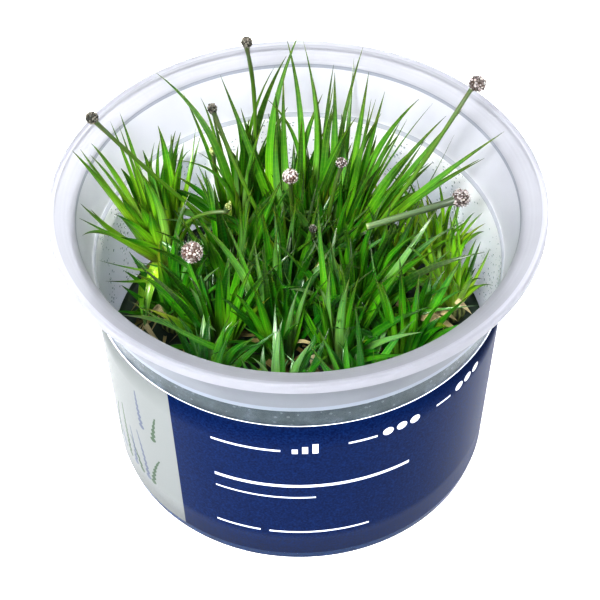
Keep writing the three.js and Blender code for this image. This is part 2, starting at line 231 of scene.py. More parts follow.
def made_by(tree, source, name, settings):
    """Run a tree on a source mesh and keep the result as a plain mesh under that name."""
    piece = bpy.data.objects.new(name, source)
    scene.collection.objects.link(piece)
    modifier = piece.modifiers.new("making", "NODES")
    modifier.node_group = tree
    for item in tree.interface.items_tree:
        if item.item_type == "SOCKET" and item.in_out == "INPUT" and item.name in settings:
            modifier[item.identifier] = settings[item.name]
    graph = bpy.context.evaluated_depsgraph_get()
    result = bpy.data.meshes.new_from_object(piece.evaluated_get(graph))
    piece.modifiers.remove(modifier)
    piece.data = result
    result.name = name
    return piece


def line_mesh(name, lines, **attributes):
    """Chains of points joined by edges; each attribute gives one value for every point."""
    points, edges = [], []
    for line in lines:
        edges += [(len(points) + i, len(points) + i + 1) for i in range(len(line) - 1)]
        points += [tuple(p) for p in line]
    mesh = bpy.data.meshes.new(name)
    mesh.from_pydata(points, edges, [])
    for label, values in attributes.items():
        vector = hasattr(values[0], "__len__")
        stored = mesh.attributes.new(label, "FLOAT_VECTOR" if vector else "FLOAT", "POINT")
        stored.data.foreach_set("vector" if vector else "value", np.array(values, float).ravel())
    return mesh


def rounded(outline):
    """The outline with each corner replaced by a short arc of its own rounding."""
    result = []
    for i, (radius, height, rounding) in enumerate(outline):
        corner = Vector((radius, height))
        if rounding == 0:
            result.append(corner)
            continue
        before = Vector(outline[i - 1][:2]) - corner
        after = Vector(outline[i + 1][:2]) - corner
        reach = min(rounding, before.length * 0.45, after.length * 0.45)
        start = corner + before.normalized() * reach
        end = corner + after.normalized() * reach
        for t in (0.0, 0.2, 0.4, 0.6, 0.8, 1.0):
            result.append(start * (1 - t) ** 2 + corner * 2 * t * (1 - t) + end * t * t)
    return result


turning, turn = growing_tree("Turned wall", {
    "Steps Round": "Int", "Turning Radius": "Float", "Wall Material": "Material"})
circle = put(turning, "GeometryNodeCurvePrimitiveCircle", {
    "Resolution": turn["Steps Round"], "Radius": turn["Turning Radius"]})
swept = put(turning, "GeometryNodeCurveToMesh", {
    "Curve": put(turning, "GeometryNodeSetCurveNormal", {0: circle}, mode="Z_UP"),
    "Profile Curve": put(turning, "GeometryNodeMeshToCurve", {0: turn["Geometry"]})})
closed = put(turning, "GeometryNodeMergeByDistance", {"Geometry": swept, "Distance": 1e-6})
close_tree(closed, turn["Wall Material"])


def turned(name, outline, material):
    """Turn an outline about the axis of the tub, with its faces outwards."""
    flat = [Vector((p.x * MM - TURNING_RADIUS, -p.y * MM, 0)) for p in rounded(outline)]
    piece = made_by(turning, line_mesh(name + "_outline", [flat]), name, {
        "Steps Round": WALL_STEPS, "Turning Radius": TURNING_RADIUS, "Wall Material": material})
    body = bmesh.new()
    body.from_mesh(piece.data)
    bmesh.ops.recalc_face_normals(body, faces=body.faces)
    body.to_mesh(piece.data)
    body.free()
    return piece


milky, tree = finish_of("milky_polypropylene")
spot = put(tree, "ShaderNodeSeparateXYZ", {0: place_in(tree)})
height = spot["Z"]
from_axis = (spot["X"] ** 2.0 + spot["Y"] ** 2.0).maths("SQRT")
flow, skin = noise(tree, 60.0, 3.0), noise(tree, 900.0)
fog = noise(tree, 240.0, 6.0, Roughness=0.7)
bead_glint_cells = put(tree, "ShaderNodeTexVoronoi", {"Vector": place_in(tree), "Scale": 620.0})["Distance"]
rings = put(tree, "ShaderNodeTexNoise", {"W": from_axis, "Scale": 2600.0, "Detail": 2.0},
            noise_dimensions="1D")["Fac"]
# The outside is what lies past the middle of the conical body and of the flared neck
body_middle = height * 0.045 + 0.0397
neck_middle = height * 0.21 + (0.0427 - 0.21 * LEDGE)
outside = (from_axis > body_middle.maths("MAXIMUM", neck_middle)).maths("MAXIMUM", height > FLANGE)
from_outside = outside - put(tree, "ShaderNodeNewGeometry")["Backfacing"]
# There the wet wall gets a painted view of the dark leaves and gel behind it, where no label covers it
bare_band = height.maths("COMPARE", *BARE_BAND)
bare_foot = height < FOOT_TOP
angle = spot["Y"].maths("ARCTAN2", spot["X"])
label_gap = angle.maths("COMPARE", *LABEL_GAP) * fade(height, *GAP_FADE, 1.0, 0.0)
wet_and_painted_through = (from_outside * label_gap.maths("MAXIMUM", bare_band.maths("MAXIMUM", bare_foot))).clamped()
# Milk of the outer side, from the flange down, and of the inner side
outer_milk = blend(rings * 0.35, clouded(flow, (155, 156, 161), (165, 166, 171)), (185, 187, 192))
# The outer side of the neck is painted darker, a painted shade for the dark inside that shows through it
outer_milk = blend(height < NECK_TOP, outer_milk, clouded(flow, (138, 142, 151), (150, 154, 163)))
outer_milk = blend(height < NECK_FOOT, outer_milk, (168, 176, 190))
outer_milk = blend(from_axis > LIP_RADIUS, outer_milk, (186, 187, 194))
inner_milk = blend(height > LEDGE, clouded(flow, (239, 240, 244), (246, 246, 249)),
                   clouded(flow, (206, 207, 214), (216, 217, 223)))
milk = blend((from_outside * (height > BEAD)).clamped(), inner_milk, outer_milk)
# Painted shade: two fine dark lines on the inner side, at the ledge and at the inner edge of the flange
painted_ledge_shade = height.maths("COMPARE", *LEDGE_LINE) * (1.0 - outside)
milk = blend(painted_ledge_shade * 0.7, milk, (110, 118, 132))
painted_edge_shade = height.maths("COMPARE", *INNER_EDGE) * (from_axis < INNER_EDGE_RADIUS)
milk = blend(painted_edge_shade * 0.7, milk, (100, 108, 122))
# Painted view through the wet wall: shade of the gel and leaves behind it, green in the label's gap, pale painted
# glints on its beads, and a painted dark blue at the foot
painted_see_through = ramp(fog, (0.3, (50, 62, 68)), (0.55, (76, 90, 98)), (0.75, (118, 132, 144)))
painted_view_in_gap = ramp(fog * 0.2 + height * 20.0, (0.6, (62, 74, 68)), (0.68, (74, 100, 52)),
                  (0.92, (96, 132, 66)), (1.0, (128, 156, 106)))
painted_see_through = blend(label_gap * 0.85, painted_see_through, painted_view_in_gap)
painted_see_through = blend((bead_glint_cells < 0.2) * 0.25, painted_see_through, (190, 202, 212))
painted_see_through = blend(bare_foot, painted_see_through, (2, 26, 72))
dress(tree, {"Base Color": blend(wet_and_painted_through, milk, painted_see_through),
             "Roughness": wet_and_painted_through * -0.2 + (flow * 0.16 + 0.34),
             "Transmission Weight": 0.58, "IOR": 1.3, "Specular IOR Level": 0.2}, skin, 0.12, 0.0002)

tub = turned("frosted_tub", tub_outline, milky)
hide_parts("tub")
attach(tub, "root")

# ---------------------------------------------------------------------------------------------
# Label: one printed plastic strip wrapped round the body and open at the back, where its ends
# are glued. A deep blue field with plain white marks, and a white panel with faint sprigs.
LABEL_BOTTOM, LABEL_TOP, LABEL_THICKNESS = 3.3, 47.4, 0.2
LABEL_START, LABEL_SWEEP = 118.0, 304.0
LABEL_COLUMNS, LABEL_ROWS = 168, 6
# The print is laid out in millimetres: u round the tub from the front, v up from its foot
PRINT_RADIUS = 41.6
PANEL_LEFT, PANEL_RIGHT = -66.0, -27.3
DOT_RADIUS = 1.12
dots = [(17.4, 41.0), (20.4, 41.1), (23.4, 41.2), (35.2, 42.0), (38.0, 42.3), (40.8, 42.6)]
# Plain rules and bars where a grower would print words: middle u, middle v, half length, half height
rules = [(-11.0, 39.4, 7.0, 0.28), (12.2, 40.6, 2.9, 0.28), (30.7, 41.3, 1.9, 0.28),
         (2.5, 27.6, 20.4, 0.42), (-7.5, 23.6, 10.4, 0.22), (-13.6, 11.2, 4.8, 0.26),
         (3.8, 11.2, 10.6, 0.26), (-1.2, 39.3, 0.55, 0.7), (0.8, 39.7, 0.55, 1.1), (2.8, 40.1, 0.55, 1.5)]
# Sprigs on the white panel: foot u, foot v, height, lean, bend
green_sprigs = [(-36.5, 9.0, 11.0, 0.10, 0.020), (-40.5, 9.0, 9.0, -0.25, -0.02),
                (-46.0, 9.0, 18.0, -0.08, 0.004), (-34.0, 26.0, 9.0, 0.1, 0.01),
                (-52.5, 9.0, 15.0, 0.1, 0.008)]
blue_sprigs = [(-38.2, 9.0, 15.0, -0.05, -0.006), (-43.5, 9.0, 13.0, 0.12, -0.01),
               (-49.0, 9.0, 10.0, -0.2, -0.012), (-37.5, 27.0, 12.0, -0.12, 0.006),
               (-56.0, 9.0, 11.0, -0.12, -0.01)]


def label_radius(height):
    return 40.2 + (height - 1) / 51.1 * 2.3 + 0.15


def label_mesh():
    """The strip as columns of points that go up its inner side and down its outer side."""
    body = bmesh.new()
    print_map = body.loops.layers.uv.new("print")
    heights = [LABEL_BOTTOM + (LABEL_TOP - LABEL_BOTTOM) * j / LABEL_ROWS for j in range(LABEL_ROWS + 1)]
    section = [(label_radius(h), h) for h in heights]
    section += [(label_radius(h) + LABEL_THICKNESS, h) for h in reversed(heights)]
    columns = []
    for i in range(LABEL_COLUMNS + 1):
        angle = math.radians(LABEL_START + LABEL_SWEEP * i / LABEL_COLUMNS)
        columns.append([body.verts.new((radius * math.cos(angle) * MM, radius * math.sin(angle) * MM,
                                        height * MM)) for radius, height in section])
    corners = [(a[k], b[k], b[k - 1], a[k - 1]) for a, b in zip(columns, columns[1:]) for k in range(len(a))]
    first, last = columns[0], columns[-1]
    for j in range(LABEL_ROWS):
        corners.append((first[j], first[-1 - j], first[-2 - j], first[j + 1]))
        corners.append((last[j + 1], last[-2 - j], last[-1 - j], last[j]))
    for face in map(body.faces.new, corners):
        for loop in face.loops:
            spot = loop.vert.co
            angle = math.atan2(spot.y, spot.x) % (2 * math.pi)
            if angle < math.radians(LABEL_START - 20):
                angle += 2 * math.pi
            loop[print_map].uv = ((angle - 1.5 * math.pi) * PRINT_RADIUS, spot.z / MM)
    mesh = bpy.data.meshes.new("wrapped_label")
    body.to_mesh(mesh)
    body.free()
    for polygon in mesh.polygons:
        outward = polygon.normal.x * polygon.center.x + polygon.normal.y * polygon.center.y
        polygon.material_index = 0 if outward > 0.0 else 1
        polygon.use_smooth = abs(polygon.normal.z) < 0.7
    return mesh


def value_group(name, inputs, *outputs):
    """An empty group of shader nodes with plain values in and out."""
    group = bpy.data.node_groups.new(name, "ShaderNodeTree")
    for side, labels in (("INPUT", inputs), ("OUTPUT", outputs)):
        for label in labels:
            group.interface.new_socket(label, in_out=side, socket_type="NodeSocketFloat")
    return Wire(group, group.nodes.new("NodeGroupInput")), group.nodes.new("NodeGroupOutput").inputs


def soft_step(value, edge, width):
    """1 where value is under edge, 0 above it, with an edge of that width."""
    return fade(value, edge, edge + width, 1.0, 0.0)


BAR = ("Middle U", "Middle V", "Half Length", "Half Height")
bar, bar_out = value_group("Printed bar", ("U", "V", *BAR), "Mask")
past_u = abs(bar["U"] - bar["Middle U"]) - bar["Half Length"]
past_v = abs(bar["V"] - bar["Middle V"]) - bar["Half Height"]
feed(bar_out["Mask"], soft_step(past_u.maths("MAXIMUM", past_v), 0.0, 0.06))

DOT = ("Middle U", "Middle V", "Radius")
dot, dot_out = value_group("Printed dot", ("U", "V", *DOT), "Mask")
from_u, from_v = dot["U"] - dot["Middle U"], dot["V"] - dot["Middle V"]
far = (from_u * from_u + from_v * from_v).maths("SQRT")
feed(dot_out["Mask"], soft_step(far, dot["Radius"], 0.06))

SPRIG = ("Foot U", "Foot V", "Height", "Lean", "Bend")
sprig, sprig_out = value_group("Printed sprig", ("U", "V", *SPRIG), "Mask")
rise = sprig["V"] - sprig["Foot V"]
stem = sprig["Foot U"] + (rise * sprig["Lean"] + rise * rise * sprig["Bend"])
leaflet = abs((rise * 1.9).maths("SINE")) * 0.75
half_stem = leaflet * (1.0 - rise / sprig["Height"]) + 0.12
on_stem = soft_step(abs(sprig["U"] - stem), half_stem, 0.15)
feed(sprig_out["Mask"], on_stem * ((rise > 0.0) * (rise < sprig["Height"])))

printed, tree = finish_of("printed_label_film")
where = put(tree, "ShaderNodeSeparateXYZ", {0: put(tree, "ShaderNodeUVMap", uv_map="print")})
u, v = where["X"], where["Y"]


def all_marks(group, names, marks):
    """One mask for all the marks of a kind."""
    total = 0.0
    for mark in marks:
        made = put(tree, "ShaderNodeGroup", {"U": u, "V": v, **dict(zip(names, mark))}, node_tree=group.tree)
        total = made.maths("MAXIMUM", total)
    return total


white_marks = all_marks(bar, BAR, rules).maths("MAXIMUM", all_marks(dot, DOT, [(*d, DOT_RADIUS) for d in dots]))
speckle = noise(tree, 2200.0, 3.0)
blue = ramp(speckle, (0.3, (7, 26, 64)), (0.5, (12, 36, 79)), (0.7, (18, 47, 94)))
paper = blend(all_marks(sprig, SPRIG, green_sprigs) * 0.75, (134, 138, 138), (44, 76, 44))
paper = blend(all_marks(sprig, SPRIG, blue_sprigs) * 0.6, paper, (58, 72, 110))
on_panel = soft_step(u, PANEL_RIGHT, 0.08) * (u > PANEL_LEFT)
field = blend(white_marks, blue, (232, 236, 245))
dress(tree, {"Base Color": blend(on_panel, field, paper), "Roughness": speckle * 0.14 + 0.3,
             "Specular IOR Level": 0.04}, speckle * 0.25 + white_marks, 0.1, 0.00008)

# The unprinted side of the film, seen through the wall from inside the tub. Its glow is painted light: it stands in
# for studio light that comes through the film and the wall together.
backing, tree = finish_of("white_label_backing")
fibre = noise(tree, 700.0, 4.0)
dress(tree, {"Base Color": clouded(fibre, (226, 230, 236), (244, 246, 249)), "Roughness": fibre * 0.2 + 0.5,
             "Emission Color": clouded(fibre, (228, 230, 240), (240, 242, 248)), "Emission Strength": 0.88})

label = bpy.data.objects.new("wrapped_label", label_mesh())
label.data.materials.append(printed)
label.data.materials.append(backing)
scene.collection.objects.link(label)
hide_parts("label")
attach(label, "root")

# ---------------------------------------------------------------------------------------------
# Gel: a set bed of clear nutrient agar, greyish green from the roots and the tub round it, with
# a low meniscus where it meets the wall.
gel_outline = [(0, 1.9, 0), (38.1, 1.9, 0.6), (39.1, 2.8, 0.6), (40.1, 27.6, 0.15), (39.3, 27.0, 0.5),
               (0, 26.7, 0)]
agar, tree = finish_of("set_agar")
haze = noise(tree, 130.0, 4.0)
dress(tree, {"Base Color": clouded(haze, (50, 68, 60), (96, 114, 100)), "Roughness": haze * 0.2 + 0.08,
             "Transmission Weight": 0.35, "IOR": 1.34}, noise(tree, 420.0), 0.3, 0.0006)
gel = turned("agar_bed", gel_outline, agar)
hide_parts("culture_gel")
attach(gel, "root")

# ---------------------------------------------------------------------------------------------
# Plants: rosettes of narrow keeled blades, broad and pale where they leave the crown and drawn
# out to a needle tip. The long blades are listed one by one, and the others come by chance.
BASE_OFFSET = 1.4
CLEAR_DISTANCE = 2.0
INNER_TRIES, CROWD_TRIES = 8, 12
# Blades: tip x, y, z, bow, curl, width in millimetres. Stalks: top x, y, z, bow, curl. A bent
# blade has its own foot before its tip. The crowd has its number, its fan (headings and leans in
# degrees), shares of the longest length, and widths, and so have the tall ones.
usual = dict(inner=4, crowd=38, fan=(0, 360, 6, 58), lengths=(0.45, 0.95), widths=(1.4, 2.7), tall=None,
             blades=[], bent=[], stalks=[])
front = dict(lengths=(0.55, 1.05), widths=(1.3, 2.6))
near = dict(inner=6, longest=18, crowd=28, fan=(-20, 200, 15, 62), lengths=(0.7, 1.35), widths=(1.3, 2.4))
slim = dict(widths=(0.8, 1.6))
rosettes = {
    "rosette_left": dict(crown=(-29, 18, 32), tone=0.85, longest=34, seed=3, crowd=25, fan=(80, 255, 6, 40),
                         lengths=(0.6, 1.0), widths=(2.6, 4.0),
                         tall=(16, (70, 205, 26, 58), (0.6, 0.92), (1.8, 2.8)), blades=[
        (-37, 25, 69, 6, 1, 1.4), (-38.5, 20, 71, 3, 2, 1.4), (-36.5, 17.5, 72, 3, 3, 1.6),
        (-41, 6.5, 77, 6, -5, 1.8), (-44, 1, 80, 0, -4, 2), (-42.5, 1.5, 80, 1, -8, 1.5),
        (-41.5, 6.5, 74, 4, -5, 1.3), (-29, 24.5, 62, 8, 2, 1.2), (-30.5, 27, 59, 4, 4, 1.2),
        (-22.5, 21, 62, 8, 5, 1), (-43, -3.5, 70, -6, -5, 1.7), (-41.5, -1, 66, -5, -7, 1.2),
        (-43.5, -4.5, 67, -4, 4, 1.7), (-42.5, -9.5, 67, 3, -7, 1.4), (-40.5, -5.5, 56, -5, 7, 1.2),
        (-39.5, -6.5, 51, -4, 7, 1.3), (-32, -9.5, 40, 2, -6, 2.4), (-33, 12, 66, 4, 2, 1.8)],
        bent=[((-27.9, 12.5, 37), (-33.2, -3.4, 31, 14, -1, 3.4))],
        stalks=[(-21.3, -4.2, 56, -3, 5), (-15, 9, 55.3, 12, -6)]),
    "rosette_left_back": dict(crown=(-13, 28, 30), tone=0.5, longest=34, seed=8,
                              tall=(3, (0, 180, 4, 34), (0.8, 1.3), (1.4, 2.4)), blades=[
        (-28.5, 20, 84, 19, 15, 2.3), (-20, 26, 72, 10, -2, 0.9), (-2, 34.5, 76, 1, 7, 2.1),
        (-4.5, 33.5, 74, 1, 8, 1.1), (-26, 13.5, 66, 15, 9, 1.2), (-21, 16, 66, 9, 4, 0.9),
        (-6.5, 24, 68, 5, -5, 1.3), (-10, 31, 62, 4, 3, 1.8), (-18, 33, 58, 6, -4, 1.4)],
        stalks=[(-10, 26.5, 84.2, 2, 9), (-40.4, 13.3, 76.4, -8, 5), (-17.8, 23, 58.2, -3, -4)]),
    "rosette_back": dict(crown=(-1, 19, 30), tone=0.55, longest=34, seed=21,
                         tall=(13, (15, 165, 4, 34), (0.75, 1.4), (1.6, 2.6)), blades=[
        (1, 33, 84, -4, 12, 2.5), (-2, 38, 78, 7, -5, 1.9), (1.5, 34.5, 80, 2, -8, 1.6),
        (3.5, 34.5, 70, 1, -7, 1.8), (8, 33.5, 70, 1, -2, 1.2), (-6.5, 23.5, 74, 0, -15, 1.4),
        (-4, 27, 66, 6, 4, 2), (-7, 16, 60, 5, 2, 1.8), (1, 24, 62, 4, 0, 1.9)],
        stalks=[(-17, 22.3, 70.3, -1, 7), (-1.5, 8.4, 64, 5, 0), (2.9, 3.5, 54.6, -7, 4)]),
    "rosette_right_back": dict(crown=(7, 16, 30), tone=0.5, longest=34, seed=34,
                               tall=(30, (-15, 95, 12, 46), (0.85, 1.4), (1.6, 2.8)), blades=[
        (14, 32.5, 80, 1, 4, 1.6), (15.5, 25, 72, 6, -3, 1.4), (16.5, 25, 72, 6, -1, 1.2),
        (25, 20, 76, 3, 8, 2.3), (28, 21, 74, 3, 2, 0.9), (30.5, 17, 74, 10, -5, 1.7),
        (33.5, 16.5, 76, 1, -3, 2.3), (32.5, 18, 68, -6, -15, 0.9), (42, 13, 73, 5, -5, 2.1),
        (38, 9.5, 69, 3, -1, 1.6), (23, 23, 68, 0, 0, 1.1), (18, 14, 64, 6, 2, 2),
        (12, 22, 62, 5, 0, 1.8)],
        stalks=[(34.8, 15.2, 82.2, 2, -14), (8.9, 12.2, 64.3, 0, -4)]),
    "rosette_right": dict(crown=(11, 0, 30), tone=0.35, longest=32, seed=55,
                          tall=(12, (-30, 60, 20, 52), (0.8, 1.1), (1.6, 2.6)), blades=[
        (37.5, -6.5, 58, 12, -6, 2.1), (25.5, -4, 50, 0, -9, 1.7), (32, -5.5, 48, 0, -3, 1.6),
        (29, -7.5, 42, 4, -6, 2), (37, -8, 44, 5, -5, 1.5), (14.5, 4, 60, -6, 9, 1.6),
        (20, 2, 56, 5, 2, 1.8), (26, 4, 54, 6, 3, 1.8)]),
    "rosette_front": dict(front, crown=(-4, -9, 30), tone=0.3, longest=32, seed=7, crowd=30,
                          fan=(-45, 225, 4, 50), blades=[
        (0, -10, 52, 5, -4, 1.9), (-7.5, -5, 54, 7, -2, 1.4), (-16, -8.5, 48, 5, 3, 1.6),
        (2, -8, 51, -4, -4, 0.9), (-20, -4.5, 66, 0, -6, 2.4), (-15.5, -0.5, 64, 5, 1, 1.4),
        (-34, -16.5, 56, -2, 10, 2), (-9, -2, 58, 4, 2, 1.6)]),
    "rosette_front_left": dict(front, crown=(-17, -7, 30), tone=0.5, longest=28, seed=12, crowd=28,
                               fan=(-20, 240, 4, 50), blades=[
        (-22.5, -8, 54, 12, 5, 1.3), (-16, -7, 54, 0, 4, 0.9), (-14, -6, 57, 7, -3, 1.1),
        (-12, -7.5, 51, 5, 3, 1.2), (-33, -10, 60, 10, 7, 1.4)]),
    "rosette_front_right": dict(front, crown=(8, -11, 30), tone=0.3, longest=30, seed=19, crowd=30,
                                fan=(-60, 200, 4, 50), blades=[
        (10, -15.5, 46, 5, 1, 1.6), (4, -16, 42, 0, -5, 1.4), (1, -14, 50, -4, 1, 1.6),
        (3.5, -11.5, 54, -4, 5, 1.6), (4, 5, 64, 3, 2, 1.8), (13, -12, 52, 5, 0, 1.6)]),
    "rosette_middle": dict(crown=(-14, 8, 30), tone=0.4, longest=36, seed=40, crowd=36,
                           tall=(16, (100, 230, 16, 58), (0.5, 0.9), (1.3, 2.2)), blades=[
        (-12, 4, 60, 4, 2, 1.6), (-20, 3, 55, 5, -3, 1.5), (-9, 10, 62, 5, 3, 1.7)]),
    "rosette_right_small": dict(slim, crown=(31, 18, 31), tone=0.7, longest=26, seed=61, blades=[
        (38, 5, 58, 2, 3, 0.9), (39, 6, 54, 1, 2, 0.9), (38.5, 3.5, 54, 2, 4, 1.2),
        (30, 10, 54, 5, 0, 1), (34, 12, 56, 4, 2, 1.2)]),
    "rosette_right_low": dict(slim, crown=(33, 4, 31), tone=0.6, longest=24, seed=70, blades=[
        (39.5, 0.5, 52, -4, 7, 1.2), (38.5, -0.5, 44, 6, 0, 0.9), (35, -4, 50, 4, 3, 1.2)]),
    "rosette_right_middle": dict(slim, crown=(22, 13, 30), tone=0.55, longest=28, seed=83, blades=[
        (26, 12, 54, 4, 2, 1.4), (21, 19, 55, 4, -2, 1.4)]),
    "rosette_front_side": dict(front, crown=(22, -10, 30), tone=0.3, longest=26, seed=92, crowd=30,
                               fan=(-60, 200, 4, 50), blades=[
        (30, -16, 46, 4, 2, 1.5), (23, -17, 47, 3, 0, 1.4)]),
    "rosette_left_side": dict(crown=(-27, 2, 30), tone=0.45, longest=24, seed=99, crowd=28,
                              tall=(18, (-10, 110, 14, 62), (0.7, 1.2), (1.3, 2.2)), blades=[
        (-31, -6, 44, 4, 2, 1.2), (-26, -8, 46, 3, 0, 1.2)]),
    "rosette_centre": dict(crown=(-4, 3, 30), tone=0.35, inner=5, longest=36, seed=105),
    "rosette_near_left": dict(near, crown=(-20, -21, 30), tone=0.3, seed=111),
    "rosette_near": dict(near, crown=(-4, -26, 30), tone=0.25, seed=118),
    "rosette_near_right": dict(near, crown=(12, -25, 30), tone=0.25, seed=127),
}
rosettes = {name: {**usual, **own} for name, own in rosettes.items()}
pale_and_lit_ones = ("rosette_left", "rosette_right_small", "rosette_right_low", "rosette_right_middle")
# Heads: middle x, y, z, width, height
heads = {
    "flower_head_tall": (-10, 26.5, 86, 2.3, 2.4), "flower_head_far_left": (-41.2, 13, 78, 2.7, 2.6),
    "flower_head_back_left": (-17.5, 22.5, 72, 2.1, 2.4), "flower_head_far_right": (36, 15, 84, 3.7, 3),
    "flower_head_middle": (-1.5, 8, 66, 3.5, 3), "flower_head_right": (9, 12, 66, 2.4, 2.2),
    "flower_head_loose": (33.3, 5.2, 62, 4.1, 3.8), "flower_head_front_left": (-21.5, -5.5, 58, 4.7, 4.4),
    "flower_bud_front": (3, 3, 56, 1.7, 1.9), "flower_bud_pale": (-17.9, 22.8, 60, 1.5, 2.6),
    "flower_bud_green": (-14.5, 9, 56.8, 1.4, 1.8),
}
loose_start, loose_end = (14, 1.2, 58), (30.7, 4.6, 61.4)


def middle_line(crown, tip, bow, curl, count=25):
    """Points of a blade's or stalk's middle line, and the level direction across it."""
    start, end = np.array(crown, float), np.array(tip, float)
    run = np.array([end[0] - start[0], end[1] - start[1], 0.0])
    across = np.array([-run[1], run[0], 0.0]) / np.linalg.norm(run)
    start = start + run / np.linalg.norm(run) * BASE_OFFSET
    middle = (start + end) / 2 - run * 0.12 + across * curl
    middle[2] += bow
    heading = (end - start) * (1, 1, 0)
    heading = heading / np.linalg.norm(heading)
    t = np.linspace(0, 1, count)[:, None]
    points = (1 - t) ** 2 * start + 2 * t * (1 - t) * middle + t * t * end
    return points, np.array([-heading[1], heading[0], 0.0])


def listed_line(rosette, row, count=25):
    return middle_line(rosette["crown"], row[:3], row[3], row[4], count)[0]


def free_radius(height):
    """How far from the axis a leaf may reach at a height without touching the tub."""
    if height < 53.8:
        return 38.7 + height / 53.8 * 2.2
    if height < 64:
        return 41.4 + (height - 53.8) / 10.2 * 2.3
    if height < 66:
        return 43.9
    if height < 68.8:
        return 44.0 + (height - 66) * 1.7
    return 99.0


def inside_tub(points):
    return all(math.hypot(p[0], p[1]) <= free_radius(p[2]) for p in points[4:])


def chance_stream(seed):
    state = seed
    while True:
        state = (state * 1664525 + 1013904223) % 4294967296
        yield state / 4294967296


# What is listed or grown already: points of the middle lines, whose they are, and their reach
taken = []


def take(owner, points, reach=0.0):
    taken.extend((*point, owner, reach) for point in points)


for name, rosette in rosettes.items():
    for row in (*rosette["blades"], *rosette["stalks"]):
        take(name, listed_line(rosette, row))
for name, head in heads.items():
    take(name, [head[:3]], head[3] / 2)
take("loose", np.linspace(loose_start, loose_end, 25))


def clear_of_others(points, owner):
    others = [row for row in taken if row[3] != owner]
    places = np.array([row[:3] for row in others], float)
    needed = CLEAR_DISTANCE + np.array([row[4] for row in others])
    gaps = np.linalg.norm(places[:, None, :] - points[None, :, :], axis=2).min(axis=1)
    return bool((gaps >= needed).all())


def tip_of(rosette, heading, lean, length):
    x, y, z = rosette["crown"]
    return (x + length * math.sin(lean) * math.cos(heading),
            y + length * math.sin(lean) * math.sin(heading), z + length * math.cos(lean))


def inner_blades(name, rosette):
    """The short inner blades that the solids have too, drawn by the same stream of chance."""
    chance = chance_stream(rosette["seed"])
    found = []
    for tries in range(rosette["inner"] * INNER_TRIES):
        if len(found) == rosette["inner"]:
            break
        heading = next(chance) * math.pi * 2
        lean = math.radians(8 + 50 * next(chance))
        length = rosette["longest"] * (0.6 + 0.4 * next(chance))
        bow = 1 + 4 * next(chance)
        curl = -3 + 6 * next(chance)
        width = 0.9 + 0.6 * next(chance)
        tip = tip_of(rosette, heading, lean, length)
        points = middle_line(rosette["crown"], tip, bow, curl)[0]
        if inside_tub(points) and clear_of_others(points, name):
            take(name, points)
            found.append((*tip, bow, curl, width))
    return found


head_places = np.array([h[:3] for h in heads.values()], float)
head_reach = np.array([h[3] / 2 + 1.6 for h in heads.values()])
head_sight = np.array(camera_place / MM) - head_places
head_sight = head_sight / np.linalg.norm(head_sight, axis=1)[:, None]


def clear_of_heads(points):
    """Leaves grow past the heads, not through them, and leave them open to the camera."""
    gap = points[:, None, :] - head_places[None, :, :]
    ahead = (gap * head_sight[None, :, :]).sum(axis=2)
    off_sight = np.linalg.norm(gap - ahead[:, :, None] * head_sight[None, :, :], axis=2)
    beside = np.linalg.norm(gap, axis=2)
    blocked = ((ahead > 0) & (off_sight < head_reach)) | (beside < head_reach)
    return not blocked.any()


def crowd_blades(rosette, number, fan, lengths, widths, start):
    """Blades of the middle of a rosette by chance, which fill it up to the listed ones."""
    chance = random.Random(rosette["seed"] * 13 + start)
    found = []
    for tries in range(number * CROWD_TRIES):
        if len(found) == number:
            break
        heading = math.radians(chance.uniform(*fan[:2]))
        lean = math.radians(chance.uniform(*fan[2:]))
        tip = tip_of(rosette, heading, lean, rosette["longest"] * chance.uniform(*lengths))
        bow, curl = chance.uniform(0, 5), chance.uniform(-4, 4)
        points = middle_line(rosette["crown"], tip, bow, curl)[0]
        if inside_tub(points) and clear_of_heads(points):
            found.append((*tip, bow, curl, chance.uniform(*widths)))
    return found


def all_blades(name, rosette):
    """Listed, inner, crowded and tall blades of one rosette, each with its foot and its tone."""
    chance = random.Random(rosette["seed"])
    crowd = crowd_blades(rosette, *(rosette[part] for part in ("crowd", "fan", "lengths", "widths")), 5)
    grown = [*rosette["blades"], *inner_blades(name, rosette), *crowd]
    tall = crowd_blades(rosette, *rosette["tall"], 6) if rosette["tall"] else []
    blades = []
    for group, darker, lighter in ((grown, -0.45, 0.4), (tall, -0.3, 0.3)):
        for blade in group:
            tone = rosette["tone"] + chance.uniform(darker, lighter)
            blades.append((rosette["crown"], blade, min(1.0, max(0.0, tone))))
    return blades + [(foot, blade, 0.7) for foot, blade in rosette["bent"]]


def stored(tree, name, kind="FLOAT"):
    return put(tree, "GeometryNodeInputNamedAttribute", {"Name": name}, data_type=kind)


def store(geometry, name, value, domain="POINT"):
    return put(geometry.tree, "GeometryNodeStoreNamedAttribute", {
        "Geometry": geometry, "Name": name, "Value": value}, data_type="FLOAT", domain=domain)


